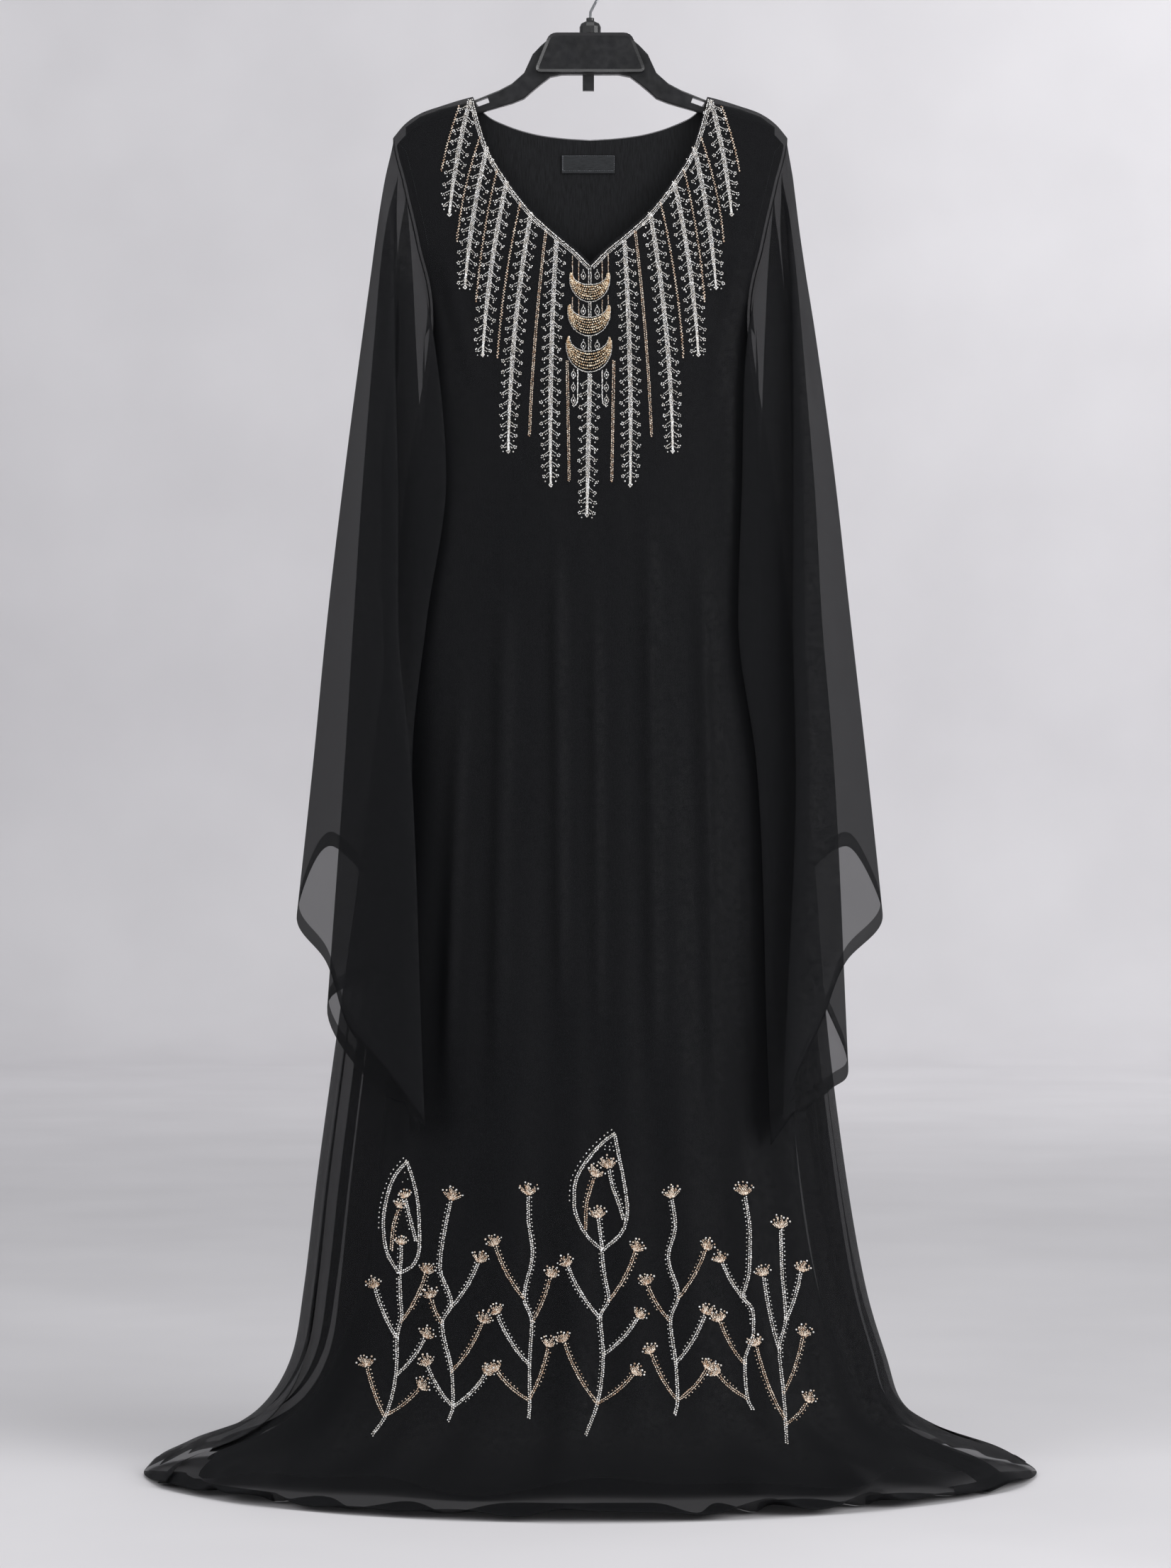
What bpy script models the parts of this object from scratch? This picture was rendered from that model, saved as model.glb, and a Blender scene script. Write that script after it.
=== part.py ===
"""A long sheer kaftan with wing sleeves, trailing on the floor, on a moulded hanger.

Run with: blender --background --python part.py

Metres, +Z up, the front faces -Y. Every "up" below is a height above the floor that the hem
trails on, and every "out" is a distance from the garment's middle. The part's own origin is
inside the crown of the hanger's hook, where a rail carries it.
"""
import math

import bmesh
import bpy
import numpy as np
from mathutils import Vector
from mathutils.bvhtree import BVHTree

# Heights and breadths that drive the garment
HOOK_CROWN_UP = 1.605
NECK_OUT = 0.124
SHOULDER_ROUND = 0.009
SEAM_GAP = 0.0003
ARMHOLE_GAP = 0.0008
PANEL_WALL = 0.0012
LINING_WALL = 0.0010
SLEEVE_WALL = 0.0010
SECTION_FLATNESS = 0.88
HEM_FLATNESS = 1.15
HEM_SPREAD_UP = 0.06

# The shoulder seam, from inside the neck point to the sleeve: out, up
SHOULDER_LINE = (
    (0.000, 1.4700),
    (0.100, 1.4620),
    (0.130, 1.4560),
    (0.158, 1.4475),
    (0.181, 1.4390),
    (0.1965, 1.4280),
    (0.2055, 1.4175),
    (0.2120, 1.4090),
)

# The V neck and the back neck, from the middle to the neck point: out, up
FRONT_NECKLINE = (
    (0.0000, 1.2795),
    (0.0165, 1.2960),
    (0.0376, 1.3134),
    (0.0633, 1.3372),
    (0.0880, 1.3695),
    (0.1090, 1.4060),
    (0.1190, 1.4380),
    (0.1240, 1.4575),
)
BACK_NECKLINE = (
    (0.0000, 1.4135),
    (0.0300, 1.4155),
    (0.0600, 1.4200),
    (0.0900, 1.4295),
    (0.1100, 1.4400),
    (0.1190, 1.4500),
    (0.1240, 1.4575),
)

# Georgette body: up, half-width left, half-width right, front depth, back depth,
# half-opening at the armhole
BODY_SECTIONS = (
    (1.470, 0.2085, 0.2085, 0.0120, 0.0110, 0.0100),
    (1.414, 0.2085, 0.2085, 0.0130, 0.0120, 0.0100),
    (1.363, 0.1980, 0.1980, 0.0165, 0.0145, 0.0100),
    (1.301, 0.1840, 0.1840, 0.0210, 0.0175, 0.0090),
    (1.220, 0.1700, 0.1700, 0.0270, 0.0220, 0.0000),
    (1.050, 0.1940, 0.1940, 0.0390, 0.0310, 0.0000),
    (0.850, 0.2185, 0.2170, 0.0540, 0.0430, 0.0000),
    (0.650, 0.2430, 0.2370, 0.0710, 0.0570, 0.0000),
    (0.480, 0.2660, 0.2500, 0.0880, 0.0710, 0.0000),
    (0.320, 0.2880, 0.2700, 0.1060, 0.0860, 0.0000),
    (0.200, 0.3025, 0.2910, 0.1210, 0.0990, 0.0000),
    (0.125, 0.3160, 0.3130, 0.1350, 0.1110, 0.0000),
    (0.075, 0.3450, 0.3310, 0.1540, 0.1260, 0.0000),
    (0.045, 0.3880, 0.3730, 0.1820, 0.1450, 0.0000),
    (0.022, 0.4500, 0.4380, 0.2310, 0.1750, 0.0000),
    (0.003, 0.4720, 0.4720, 0.3020, 0.2150, 0.0000),
)

# Lining, inside the body and shorter than it, in the same columns
LINING_SECTIONS = (
    (1.470, 0.2050, 0.2050, 0.0088, 0.0078, 0.0068),
    (1.414, 0.2050, 0.2050, 0.0098, 0.0088, 0.0068),
    (1.363, 0.1940, 0.1940, 0.0130, 0.0112, 0.0068),
    (1.301, 0.1800, 0.1800, 0.0172, 0.0140, 0.0058),
    (1.220, 0.1660, 0.1660, 0.0228, 0.0180, 0.0000),
    (1.050, 0.1850, 0.1850, 0.0335, 0.0260, 0.0000),
    (0.850, 0.1960, 0.1960, 0.0475, 0.0370, 0.0000),
    (0.650, 0.2050, 0.2050, 0.0635, 0.0495, 0.0000),
    (0.480, 0.2120, 0.2110, 0.0790, 0.0620, 0.0000),
    (0.320, 0.2230, 0.2200, 0.0950, 0.0750, 0.0000),
    (0.200, 0.2420, 0.2400, 0.1080, 0.0860, 0.0000),
    (0.125, 0.2680, 0.2680, 0.1190, 0.0960, 0.0000),
    (0.075, 0.3000, 0.2960, 0.1320, 0.1070, 0.0000),
    (0.045, 0.3400, 0.3330, 0.1450, 0.1180, 0.0000),
    (0.022, 0.3950, 0.3880, 0.1620, 0.1300, 0.0000),
    (0.006, 0.4300, 0.4250, 0.1850, 0.1420, 0.0000),
)

# How far the lining's upper edge lies below the georgette's, at the neck and the shoulder
LINING_LOWERED = (0.0015, 0.0140)

# Ridges of the body's soft folds: place round the section in degrees (0 is the middle,
# positive towards +X), breadth in degrees, and height at chest, knee and hem
FRONT_FOLDS = (
    (-66, 8, 0.000, 0.004, 0.008),
    (-47, 7, 0.001, 0.009, 0.012),
    (-30, 5, 0.000, 0.004, 0.007),
    (-17, 6, 0.001, 0.009, 0.010),
    (-3, 4, 0.001, 0.006, 0.012),
    (8, 5, 0.001, 0.008, 0.007),
    (21, 6, 0.001, 0.010, 0.009),
    (36, 5, 0.000, 0.006, 0.013),
    (50, 7, 0.001, 0.008, 0.010),
    (68, 7, 0.000, 0.004, 0.012),
)
BACK_FOLDS = (
    (-63, 8, 0.001, 0.005, 0.010),
    (-42, 7, 0.001, 0.010, 0.014),
    (-21, 6, 0.001, 0.008, 0.011),
    (-4, 6, 0.002, 0.011, 0.015),
    (15, 5, 0.001, 0.007, 0.010),
    (33, 7, 0.001, 0.010, 0.014),
    (58, 8, 0.001, 0.006, 0.011),
)
LINING_FOLDS = (
    (-35, 9, 0.000, 0.002, 0.003),
    (4, 9, 0.000, 0.002, 0.003),
    (38, 9, 0.000, 0.002, 0.003),
)
FOLD_LEVELS = (1.30, 0.95, 0.45, 0.05)

# Sleeves hang as a flattened tube. Each row is one line down the tube, in order round it:
# name, height where it leaves the armhole, side of the armhole (-1 front, 1 back), distance
# out at underarm, chest, waist, hip and knee, height of its hem, and how many layers it lies
# in front of the rearmost one.
SLEEVE_LEVELS = (1.20, 1.05, 0.90, 0.75, 0.45)
LEFT_SLEEVE = (
    ("outer fold", 1.4090, -0.2, 0.2400, 0.2610, 0.2795, 0.2940, 0.3280, 0.594, 2.6),
    ("front outer", 1.4000, -1, 0.2330, 0.2500, 0.2620, 0.2710, 0.2830, 0.545, 3.4),
    ("front middle", 1.3900, -1, 0.2220, 0.2320, 0.2385, 0.2430, 0.2520, 0.480, 3.4),
    ("front inner", 1.3800, -1, 0.2110, 0.2140, 0.2130, 0.2100, 0.2080, 0.430, 3.4),
    ("first fold", 1.3700, -1, 0.2045, 0.2005, 0.1995, 0.1860, 0.1735, 0.380, 2.9),
    ("return", 1.3450, -1, 0.2060, 0.2130, 0.2110, 0.2010, 0.1890, 0.390, 1.8),
    ("second fold", 1.2850, -1, 0.1650, 0.1520, 0.1720, 0.1860, 0.1790, 0.370, 0.5),
    ("underarm", 1.2150, 0.3, 0.1800, 0.2130, 0.2100, 0.2050, 0.1960, 0.365, 0.0),
    ("back inner", 1.3000, 1, 0.2000, 0.2300, 0.2340, 0.2350, 0.2360, 0.425, 0.0),
    ("rear fold", 1.3400, 1, 0.2180, 0.2430, 0.2490, 0.2580, 0.2810, 0.503, 0.6),
    ("back return", 1.3700, 1, 0.2140, 0.2300, 0.2310, 0.2330, 0.2400, 0.700, 1.4),
    ("back outer", 1.3950, 1, 0.2270, 0.2450, 0.2570, 0.2650, 0.2800, 0.645, 1.9),
)
RIGHT_SLEEVE = (
    ("outer fold", 1.4090, -0.2, 0.2390, 0.2585, 0.2760, 0.2925, 0.3250, 0.594, 2.6),
    ("front outer", 1.4000, -1, 0.2330, 0.2490, 0.2590, 0.2680, 0.2720, 0.545, 3.4),
    ("front middle", 1.3900, -1, 0.2250, 0.2350, 0.2400, 0.2450, 0.2430, 0.488, 3.4),
    ("front inner", 1.3800, -1, 0.2190, 0.2220, 0.2230, 0.2260, 0.2140, 0.430, 3.4),
    ("first fold", 1.3700, -1, 0.2145, 0.2115, 0.2105, 0.2130, 0.2000, 0.385, 2.9),
    ("return", 1.3530, -1, 0.2160, 0.2190, 0.2200, 0.2250, 0.2130, 0.390, 1.8),
    ("second fold", 1.2850, -1, 0.1660, 0.1605, 0.1560, 0.1750, 0.1840, 0.356, 0.5),
    ("underarm", 1.2150, 0.3, 0.1800, 0.2130, 0.2110, 0.2110, 0.2150, 0.373, 0.0),
    ("back inner", 1.3000, 1, 0.2000, 0.2280, 0.2330, 0.2400, 0.2550, 0.410, 0.0),
    ("rear fold", 1.3400, 1, 0.2180, 0.2430, 0.2480, 0.2590, 0.2720, 0.447, 0.6),
    ("back return", 1.3700, 1, 0.2150, 0.2330, 0.2360, 0.2420, 0.2430, 0.655, 1.4),
    ("back outer", 1.3950, 1, 0.2270, 0.2460, 0.2560, 0.2680, 0.2680, 0.640, 1.9),
)
SLEEVE_CLEARANCE = 0.005
SLEEVE_FOLD_CLEARANCE = 0.009
SLEEVE_OVERHANG = 1.3
SLEEVE_EASE = 0.8
LAYER_SPACING = 0.0060
FIRST_SPACING = 0.0055
UNDERARM_GAP = 0.0025
ARMHOLE_EASE = 0.150

# Drops below the armhole over which front lines, back lines and layers take their places
FRONT_TURN = 0.09
BACK_TURN = 0.16
LAYER_OPENING = 0.35

# Grid counts: columns on each side of the middle and rows down, or lines round and rows down
NECK_INSETS = (0.0, 0.0012, 0.0050)
PANEL_OUTER_COLUMNS = 6
PANEL_NECK_COLUMNS = 6
FRONT_ROWS = 27
BACK_ROWS = 23
LINING_COLUMNS = 4
LINING_ROWS = 19
ANGLE_STEP = 0.004
INDEX_STEP = 0.01
EDGE_ROWS = (0.0, 0.0035)
FIRST_ROW = 0.012
SLEEVE_STEPS = (0.20, 0.50, 0.80)
SLEEVE_ROWS = 18
SLEEVE_ROW_EASE = 1.1
SLEEVE_DROP = 0.003
MITRE_LIMIT = 0.45

# Beaded crescents at the centre front: height of the horns, half-width, drop, band breadth
CRESCENTS = (
    ("crescent_top", 1.2698, 0.0212, 0.0297, 0.0187),
    ("crescent_middle", 1.2364, 0.0225, 0.0319, 0.0199),
    ("crescent_bottom", 1.2038, 0.0240, 0.0374, 0.0220),
)
CRESCENT_HEIGHT = 0.0026
CRESCENT_TURN = 76.0
CRESCENT_STEPS = 12
CRESCENT_ACROSS = (0.0, 0.3, 0.7, 1.0)
CRESCENT_NARROWING = 0.22
SEWN_GAP = 0.0005
SEWN_EDGE = 0.0011

# Beaded edging on the V neck: breadth, height, distance in from the edge, end, steps a side
EDGING_WIDTH = 0.0055
EDGING_HEIGHT = 0.0016
EDGING_INSET = 0.0008
EDGING_OUT = 0.1130
EDGING_STRIDE = 0.0010
EDGING_STEPS = 14
EDGING_ACROSS = (0.0, 0.25, 0.75, 1.0)

# Bare label inside the back neck
LABEL_MIDDLE = -0.002
LABEL_WIDTH = 0.056
LABEL_HEIGHT = 0.0187
LABEL_TOP_UP = 1.3965
LABEL_THICKNESS = 0.0008
LABEL_STEPS = 4

# Hanger: out, top, bottom and half-thickness of the moulded arms, from the middle outwards
HANGER_SECTIONS = (
    (0.0000, 1.5235, 1.4805, 0.0060),
    (0.0300, 1.5230, 1.4805, 0.0060),
    (0.0420, 1.5195, 1.4780, 0.0060),
    (0.0520, 1.5110, 1.4705, 0.0060),
    (0.0610, 1.5015, 1.4630, 0.0060),
    (0.0700, 1.4820, 1.4550, 0.0055),
    (0.0825, 1.4710, 1.4500, 0.0050),
    (0.0960, 1.4640, 1.4460, 0.0045),
    (0.1185, 1.4550, 1.4395, 0.0040),
    (0.1300, 1.4505, 1.4360, 0.0040),
    (0.1580, 1.4441, 1.4290, 0.0040),
    (0.1800, 1.4358, 1.4225, 0.0040),
    (0.1950, 1.4250, 1.4150, 0.0035),
)
HANGER_CHAMFER = 0.0015
PLATE_TOP_HALF = 0.0430
PLATE_BOTTOM_HALF = 0.0595
PLATE_TOP_UP = 1.5235
PLATE_BOTTOM_UP = 1.4820
PLATE_THICKNESS = 0.0050
PLATE_CORNER = 0.0080
PLATE_CORNER_STEPS = 4
PLATE_RIM = 0.0030
PLATE_RECESS = 0.0012
CLIP_MIDDLE = -0.002
CLIP_SIZE = (0.0120, 0.0060, 0.0165)
CLIP_TOP_UP = 1.4800
BOSS_PROFILE = (
    (0.0113, 1.5238),
    (0.0113, 1.5310),
    (0.0098, 1.5345),
    (0.0060, 1.5365),
    (0.0042, 1.5375),
    (0.0042, 1.5405),
)
BOSS_STEPS = 16
SLOT_SIZE = (0.0140, 0.0300, 0.0060)
SLOT_OUT = 0.1140
SLOT_UP = 1.4512
SLOT_TILT = 20.0
HOOK_WIRE_RADIUS = 0.0015
HOOK_WIRE_SIDES = 10
HOOK_RADIUS = 0.0215
HOOK_STEM = ((0.0000, 1.5408), (0.0003, 1.5470), (0.0060, 1.5580))
HOOK_ARC_START = -32.0
HOOK_ARC_END = 205.0
HOOK_ARC_STEPS = 20

# Material of each piece: colour, roughness, metallic
GEORGETTE = ("sheer georgette", (0.018, 0.018, 0.021), 0.75, 0.0)
LINING = ("satin lining", (0.010, 0.010, 0.012), 0.60, 0.0)
BEADWORK = ("champagne beadwork", (0.48, 0.36, 0.24), 0.35, 0.6)
LABEL = ("woven label", (0.012, 0.012, 0.014), 0.55, 0.0)
HANGER_PLASTIC = ("black polystyrene", (0.020, 0.020, 0.024), 0.35, 0.0)
HOOK_STEEL = ("chromed wire", (0.62, 0.62, 0.64), 0.18, 1.0)


def clear_scene():
    """Remove whatever the opening file holds."""
    for obj in list(bpy.data.objects):
        bpy.data.objects.remove(obj, do_unlink=True)


def smoothstep(value):
    """Ease from 0 to 1 with level ends."""
    t = np.clip(value, 0.0, 1.0)
    return t * t * (3.0 - 2.0 * t)


class SmoothLine:
    """A curve through table values that never overshoots them."""

    def __init__(self, places, values):
        order = np.argsort(places)
        self.x = np.asarray(places, float)[order]
        self.y = np.asarray(values, float)[order]
        step = np.diff(self.x)
        slope = np.diff(self.y) / step
        tangent = np.concatenate(([slope[0]], 0.5 * (slope[1:] + slope[:-1]), [slope[-1]]))
        turning = slope[1:] * slope[:-1] <= 0.0
        tangent[1:-1][turning] = 0.0
        limit = 3.0 * np.minimum(np.abs(slope[1:]), np.abs(slope[:-1]))
        tangent[1:-1] = np.clip(tangent[1:-1], -limit, limit)
        self.step = step
        self.tangent = tangent

    def __call__(self, place):
        p = np.asarray(place, float)
        inside = np.clip(p, self.x[0], self.x[-1])
        i = np.clip(np.searchsorted(self.x, inside) - 1, 0, len(self.step) - 1)
        h = self.step[i]
        t = (inside - self.x[i]) / h
        first = (2 * t**3 - 3 * t**2 + 1) * self.y[i] + (t**3 - 2 * t**2 + t) * h * self.tangent[i]
        last = (3 * t**2 - 2 * t**3) * self.y[i + 1] + (t**3 - t**2) * h * self.tangent[i + 1]
        beyond = np.where(p < self.x[0], self.tangent[0], self.tangent[-1]) * (p - inside)
        return first + last + beyond


class Tube:
    """The body or its lining: a flattened tube that widens into the trailing hem."""

    def __init__(self, sections, hem_flatness):
        table = np.array(sections)
        index = np.arange(len(table))
        self.hem_flatness = hem_flatness
        names = ("up", "left", "right", "front", "back", "opening")
        self.columns = {n: SmoothLine(index, table[:, k]) for k, n in enumerate(names)}
        self.last = len(table) - 1
        self.fine_index = np.linspace(0.0, self.last, 60 * self.last)
        self.fine_up = self.columns["up"](self.fine_index)

    def index_at(self, up):
        """Place down the table for a height above the floor."""
        return np.interp(-np.asarray(up, float), -self.fine_up, self.fine_index)

    def value(self, name, index):
        return self.columns[name](index)

    def half_width(self, index, sine):
        """Half-width on the side that the sine of the section's angle points to."""
        return np.where(sine < 0, self.value("left", index), self.value("right", index))

    def flatness(self, up, face):
        """How flat the section is; the spread hem in front is pointed at its ends."""
        if face > 0:
            return SECTION_FLATNESS
        share = smoothstep((HEM_SPREAD_UP - up) / HEM_SPREAD_UP)
        return SECTION_FLATNESS + (self.hem_flatness - SECTION_FLATNESS) * share

    def point(self, angle, index, face):
        """A point of the bare section; face is -1 for the front and 1 for the back."""
        sine = np.sin(angle)
        x = self.half_width(index, sine) * sine
        depth = self.value("front" if face < 0 else "back", index)
        opening = self.value("opening", index)
        cosine = np.maximum(np.cos(angle), 0.0)
        up = self.value("up", index)
        y = opening + (depth - opening) * cosine ** self.flatness(up, face)
        y = y * shoulder_closing(x, up) + 0.5 * SEAM_GAP
        return np.stack([x, face * y, up], axis=-1)

    def front_depth(self, x, up):
        """Forward depth of the front at a place beside the middle, eased past its edge."""
        index = self.index_at(up)
        share = np.clip(x / (SLEEVE_OVERHANG * self.half_width(index, x)), -1.0, 1.0)
        return self.value("front", index) * (1.0 - share**2) ** SLEEVE_EASE


shoulder_up = SmoothLine(*zip(*SHOULDER_LINE))
front_neck_up = SmoothLine(*zip(*FRONT_NECKLINE))
back_neck_up = SmoothLine(*zip(*BACK_NECKLINE))


def shoulder_closing(x, up):
    """0 on the shoulder seam and 1 below it, so that the panels close round the hanger."""
    q = np.clip((shoulder_up(np.abs(x)) - up) / SHOULDER_ROUND, 0.0, 1.0)
    return np.sqrt(1.0 - (1.0 - q) ** 2)


def top_edge_up(x, face):
    """Height of a panel's upper edge: neckline inside the neck points, shoulder outside."""
    out = abs(x)
    if out >= NECK_OUT:
        return float(shoulder_up(out))
    return float(front_neck_up(out) if face < 0 else back_neck_up(out))


def top_index(tube, angle, face, lowered):
    """Where a column of a panel meets the panel's upper edge, found by halving."""
    low = 0.0
    high = float(tube.last)
    at_neck, at_shoulder = lowered
    for _ in range(40):
        middle = 0.5 * (low + high)
        x, _, up = tube.point(angle, middle, 1)
        edge = min(top_edge_up(x, face) - at_neck, shoulder_up(abs(x)) - at_shoulder)
        if up > edge:
            low = middle
        else:
            high = middle
    return 0.5 * (low + high)


def column_angles(tube, outer_columns, neck_columns):
    """Angles of a panel's columns, with one on each neck point and two close inside it."""
    half = float(tube.value("right", 0))
    neck, close, beside = (math.asin((NECK_OUT - inset) / half) for inset in NECK_INSETS)
    outer = np.linspace(0.5 * math.pi, neck, outer_columns + 1)
    inner = np.linspace(beside, 0.0, neck_columns + 1)
    right = np.concatenate([outer, [close], inner])
    return np.concatenate([-right, right[-2::-1]])


def fold_height(angle, up, folds):
    """Height of the fold ridges over the bare section."""
    chest, waist, knee, hem = FOLD_LEVELS
    low = smoothstep((waist - up) / (waist - knee))
    floor = smoothstep((knee - up) / (knee - hem))
    start = smoothstep((chest - up) / (chest - waist))
    degrees = np.degrees(angle)
    total = np.zeros_like(degrees + up)
    for place, breadth, at_chest, at_knee, at_hem in folds:
        height = at_chest * start + (at_knee - at_chest) * low + (at_hem - at_knee) * floor
        total += height * np.exp(-(((degrees - place) / breadth) ** 2))
    return total * np.maximum(np.cos(angle), 0.0) ** 0.5


def unit(vectors):
    """The same directions with length 1."""
    return vectors / np.maximum(np.linalg.norm(vectors, axis=-1, keepdims=True), 1e-12)


def facing(shape, angle, index, face):
    """Unit normals, away from the wearer, of a surface given at an angle and a table place."""
    across = shape(angle + ANGLE_STEP, index) - shape(angle - ANGLE_STEP, index)
    down = shape(angle, index + INDEX_STEP) - shape(angle, index - INDEX_STEP)
    return face * unit(np.cross(across, down))


def row_shares(rows):
    """Shares down a panel, with two close rows at its upper edge for the rounded shoulder."""
    return np.concatenate([EDGE_ROWS, np.linspace(FIRST_ROW, 1.0, rows - len(EDGE_ROWS))])


def panel_grids(tube, face, folds, rows, wall, lowered, outer_columns, neck_columns):
    """Outer and inner points of a front or back panel, columns first."""
    angles = column_angles(tube, outer_columns, neck_columns)
    starts = np.array([top_index(tube, angle, face, lowered) for angle in angles])
    angle = np.repeat(angles[:, None], rows, axis=1)
    index = starts[:, None] + (tube.last - starts[:, None]) * row_shares(rows)

    def bare(a, i):
        return tube.point(a, i, face)

    def folded(a, i):
        flat = bare(a, i)
        return flat + facing(bare, a, i, face) * fold_height(a, flat[..., 2], folds)[..., None]

    outer = folded(angle, index)
    normal = facing(folded, angle, index, face)
    normal[outer[..., 2] > shoulder_up(np.abs(outer[..., 0])) - SEAM_GAP] = (0.0, 0.0, 1.0)
    inner = outer - normal * wall
    half_gap = 0.5 * SEAM_GAP
    for points in (outer, inner):
        points[..., 1] = face * np.maximum(face * points[..., 1], half_gap)
    return outer, inner


def wall_object(name, outer, inner, closed, finish):
    """One closed cloth wall between an outer and an inner grid of points."""
    columns, rows = outer.shape[:2]
    mesh = bmesh.new()
    skins = [
        [[mesh.verts.new(Vector(p)) for p in column] for column in grid]
        for grid in (outer, inner)
    ]
    last = columns if closed else columns - 1
    for i in range(last):
        k = (i + 1) % columns
        for j in range(rows - 1):
            for skin in skins:
                mesh.faces.new((skin[i][j], skin[k][j], skin[k][j + 1], skin[i][j + 1]))
        for j in (0, rows - 1):
            mesh.faces.new((skins[0][i][j], skins[0][k][j], skins[1][k][j], skins[1][i][j]))
    if not closed:
        for i in (0, columns - 1):
            for j in range(rows - 1):
                mesh.faces.new(
                    (skins[0][i][j], skins[0][i][j + 1], skins[1][i][j + 1], skins[1][i][j])
                )
    return bmesh_object(name, mesh, finish)


def bmesh_object(name, mesh, finish):
    """Turn a bmesh into a named object with its material, faces out."""
    bmesh.ops.recalc_face_normals(mesh, faces=mesh.faces)
    data = bpy.data.meshes.new(name)
    mesh.to_mesh(data)
    mesh.free()
    if sum(p.area * p.normal.dot(p.center) for p in data.polygons) < 0.0:
        data.flip_normals()
    obj = bpy.data.objects.new(name, data)
    bpy.context.collection.objects.link(obj)
    place_object(obj, finish)
    data.shade_smooth()
    data.set_sharp_from_angle(angle=math.radians(35))
    return obj


def place_object(obj, finish):
    """Hang an object, modelled at heights above the floor, below the hook's crown."""
    obj.parent = bpy.data.objects["hanging_point"]
    obj.location = (0.0, 0.0, -HOOK_CROWN_UP)
    obj.data.materials.append(material(finish))


def material(finish):
    """The Principled material of a finish, made once."""
    name, colour, roughness, metallic = finish
    found = bpy.data.materials.get(name)
    if found:
        return found
    made = bpy.data.materials.new(name)
    made.use_nodes = True
    shader = made.node_tree.nodes["Principled BSDF"]
    shader.inputs["Base Color"].default_value = (*colour, 1.0)
    shader.inputs["Roughness"].default_value = roughness
    shader.inputs["Metallic"].default_value = metallic
    return made


def build_body(body):
    """Front and back georgette panels, a seam's gap apart at the sides and shoulders."""
    for name, face, folds, rows in (
        ("front_panel", -1, FRONT_FOLDS, FRONT_ROWS),
        ("back_panel", 1, BACK_FOLDS, BACK_ROWS),
    ):
        outer, inner = panel_grids(
            body, face, folds, rows, PANEL_WALL, (0.0, 0.0), PANEL_OUTER_COLUMNS, PANEL_NECK_COLUMNS
        )
        wall_object(name, outer, inner, False, GEORGETTE)


def build_lining(lining):
    """Front and back lining panels, lying just inside the georgette."""
    for name, face in (("lining_front", -1), ("lining_back", 1)):
        outer, inner = panel_grids(
            lining, face, LINING_FOLDS, LINING_ROWS, LINING_WALL, LINING_LOWERED,
            LINING_COLUMNS, LINING_COLUMNS
        )
        wall_object(name, outer, inner, False, LINING)


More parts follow.
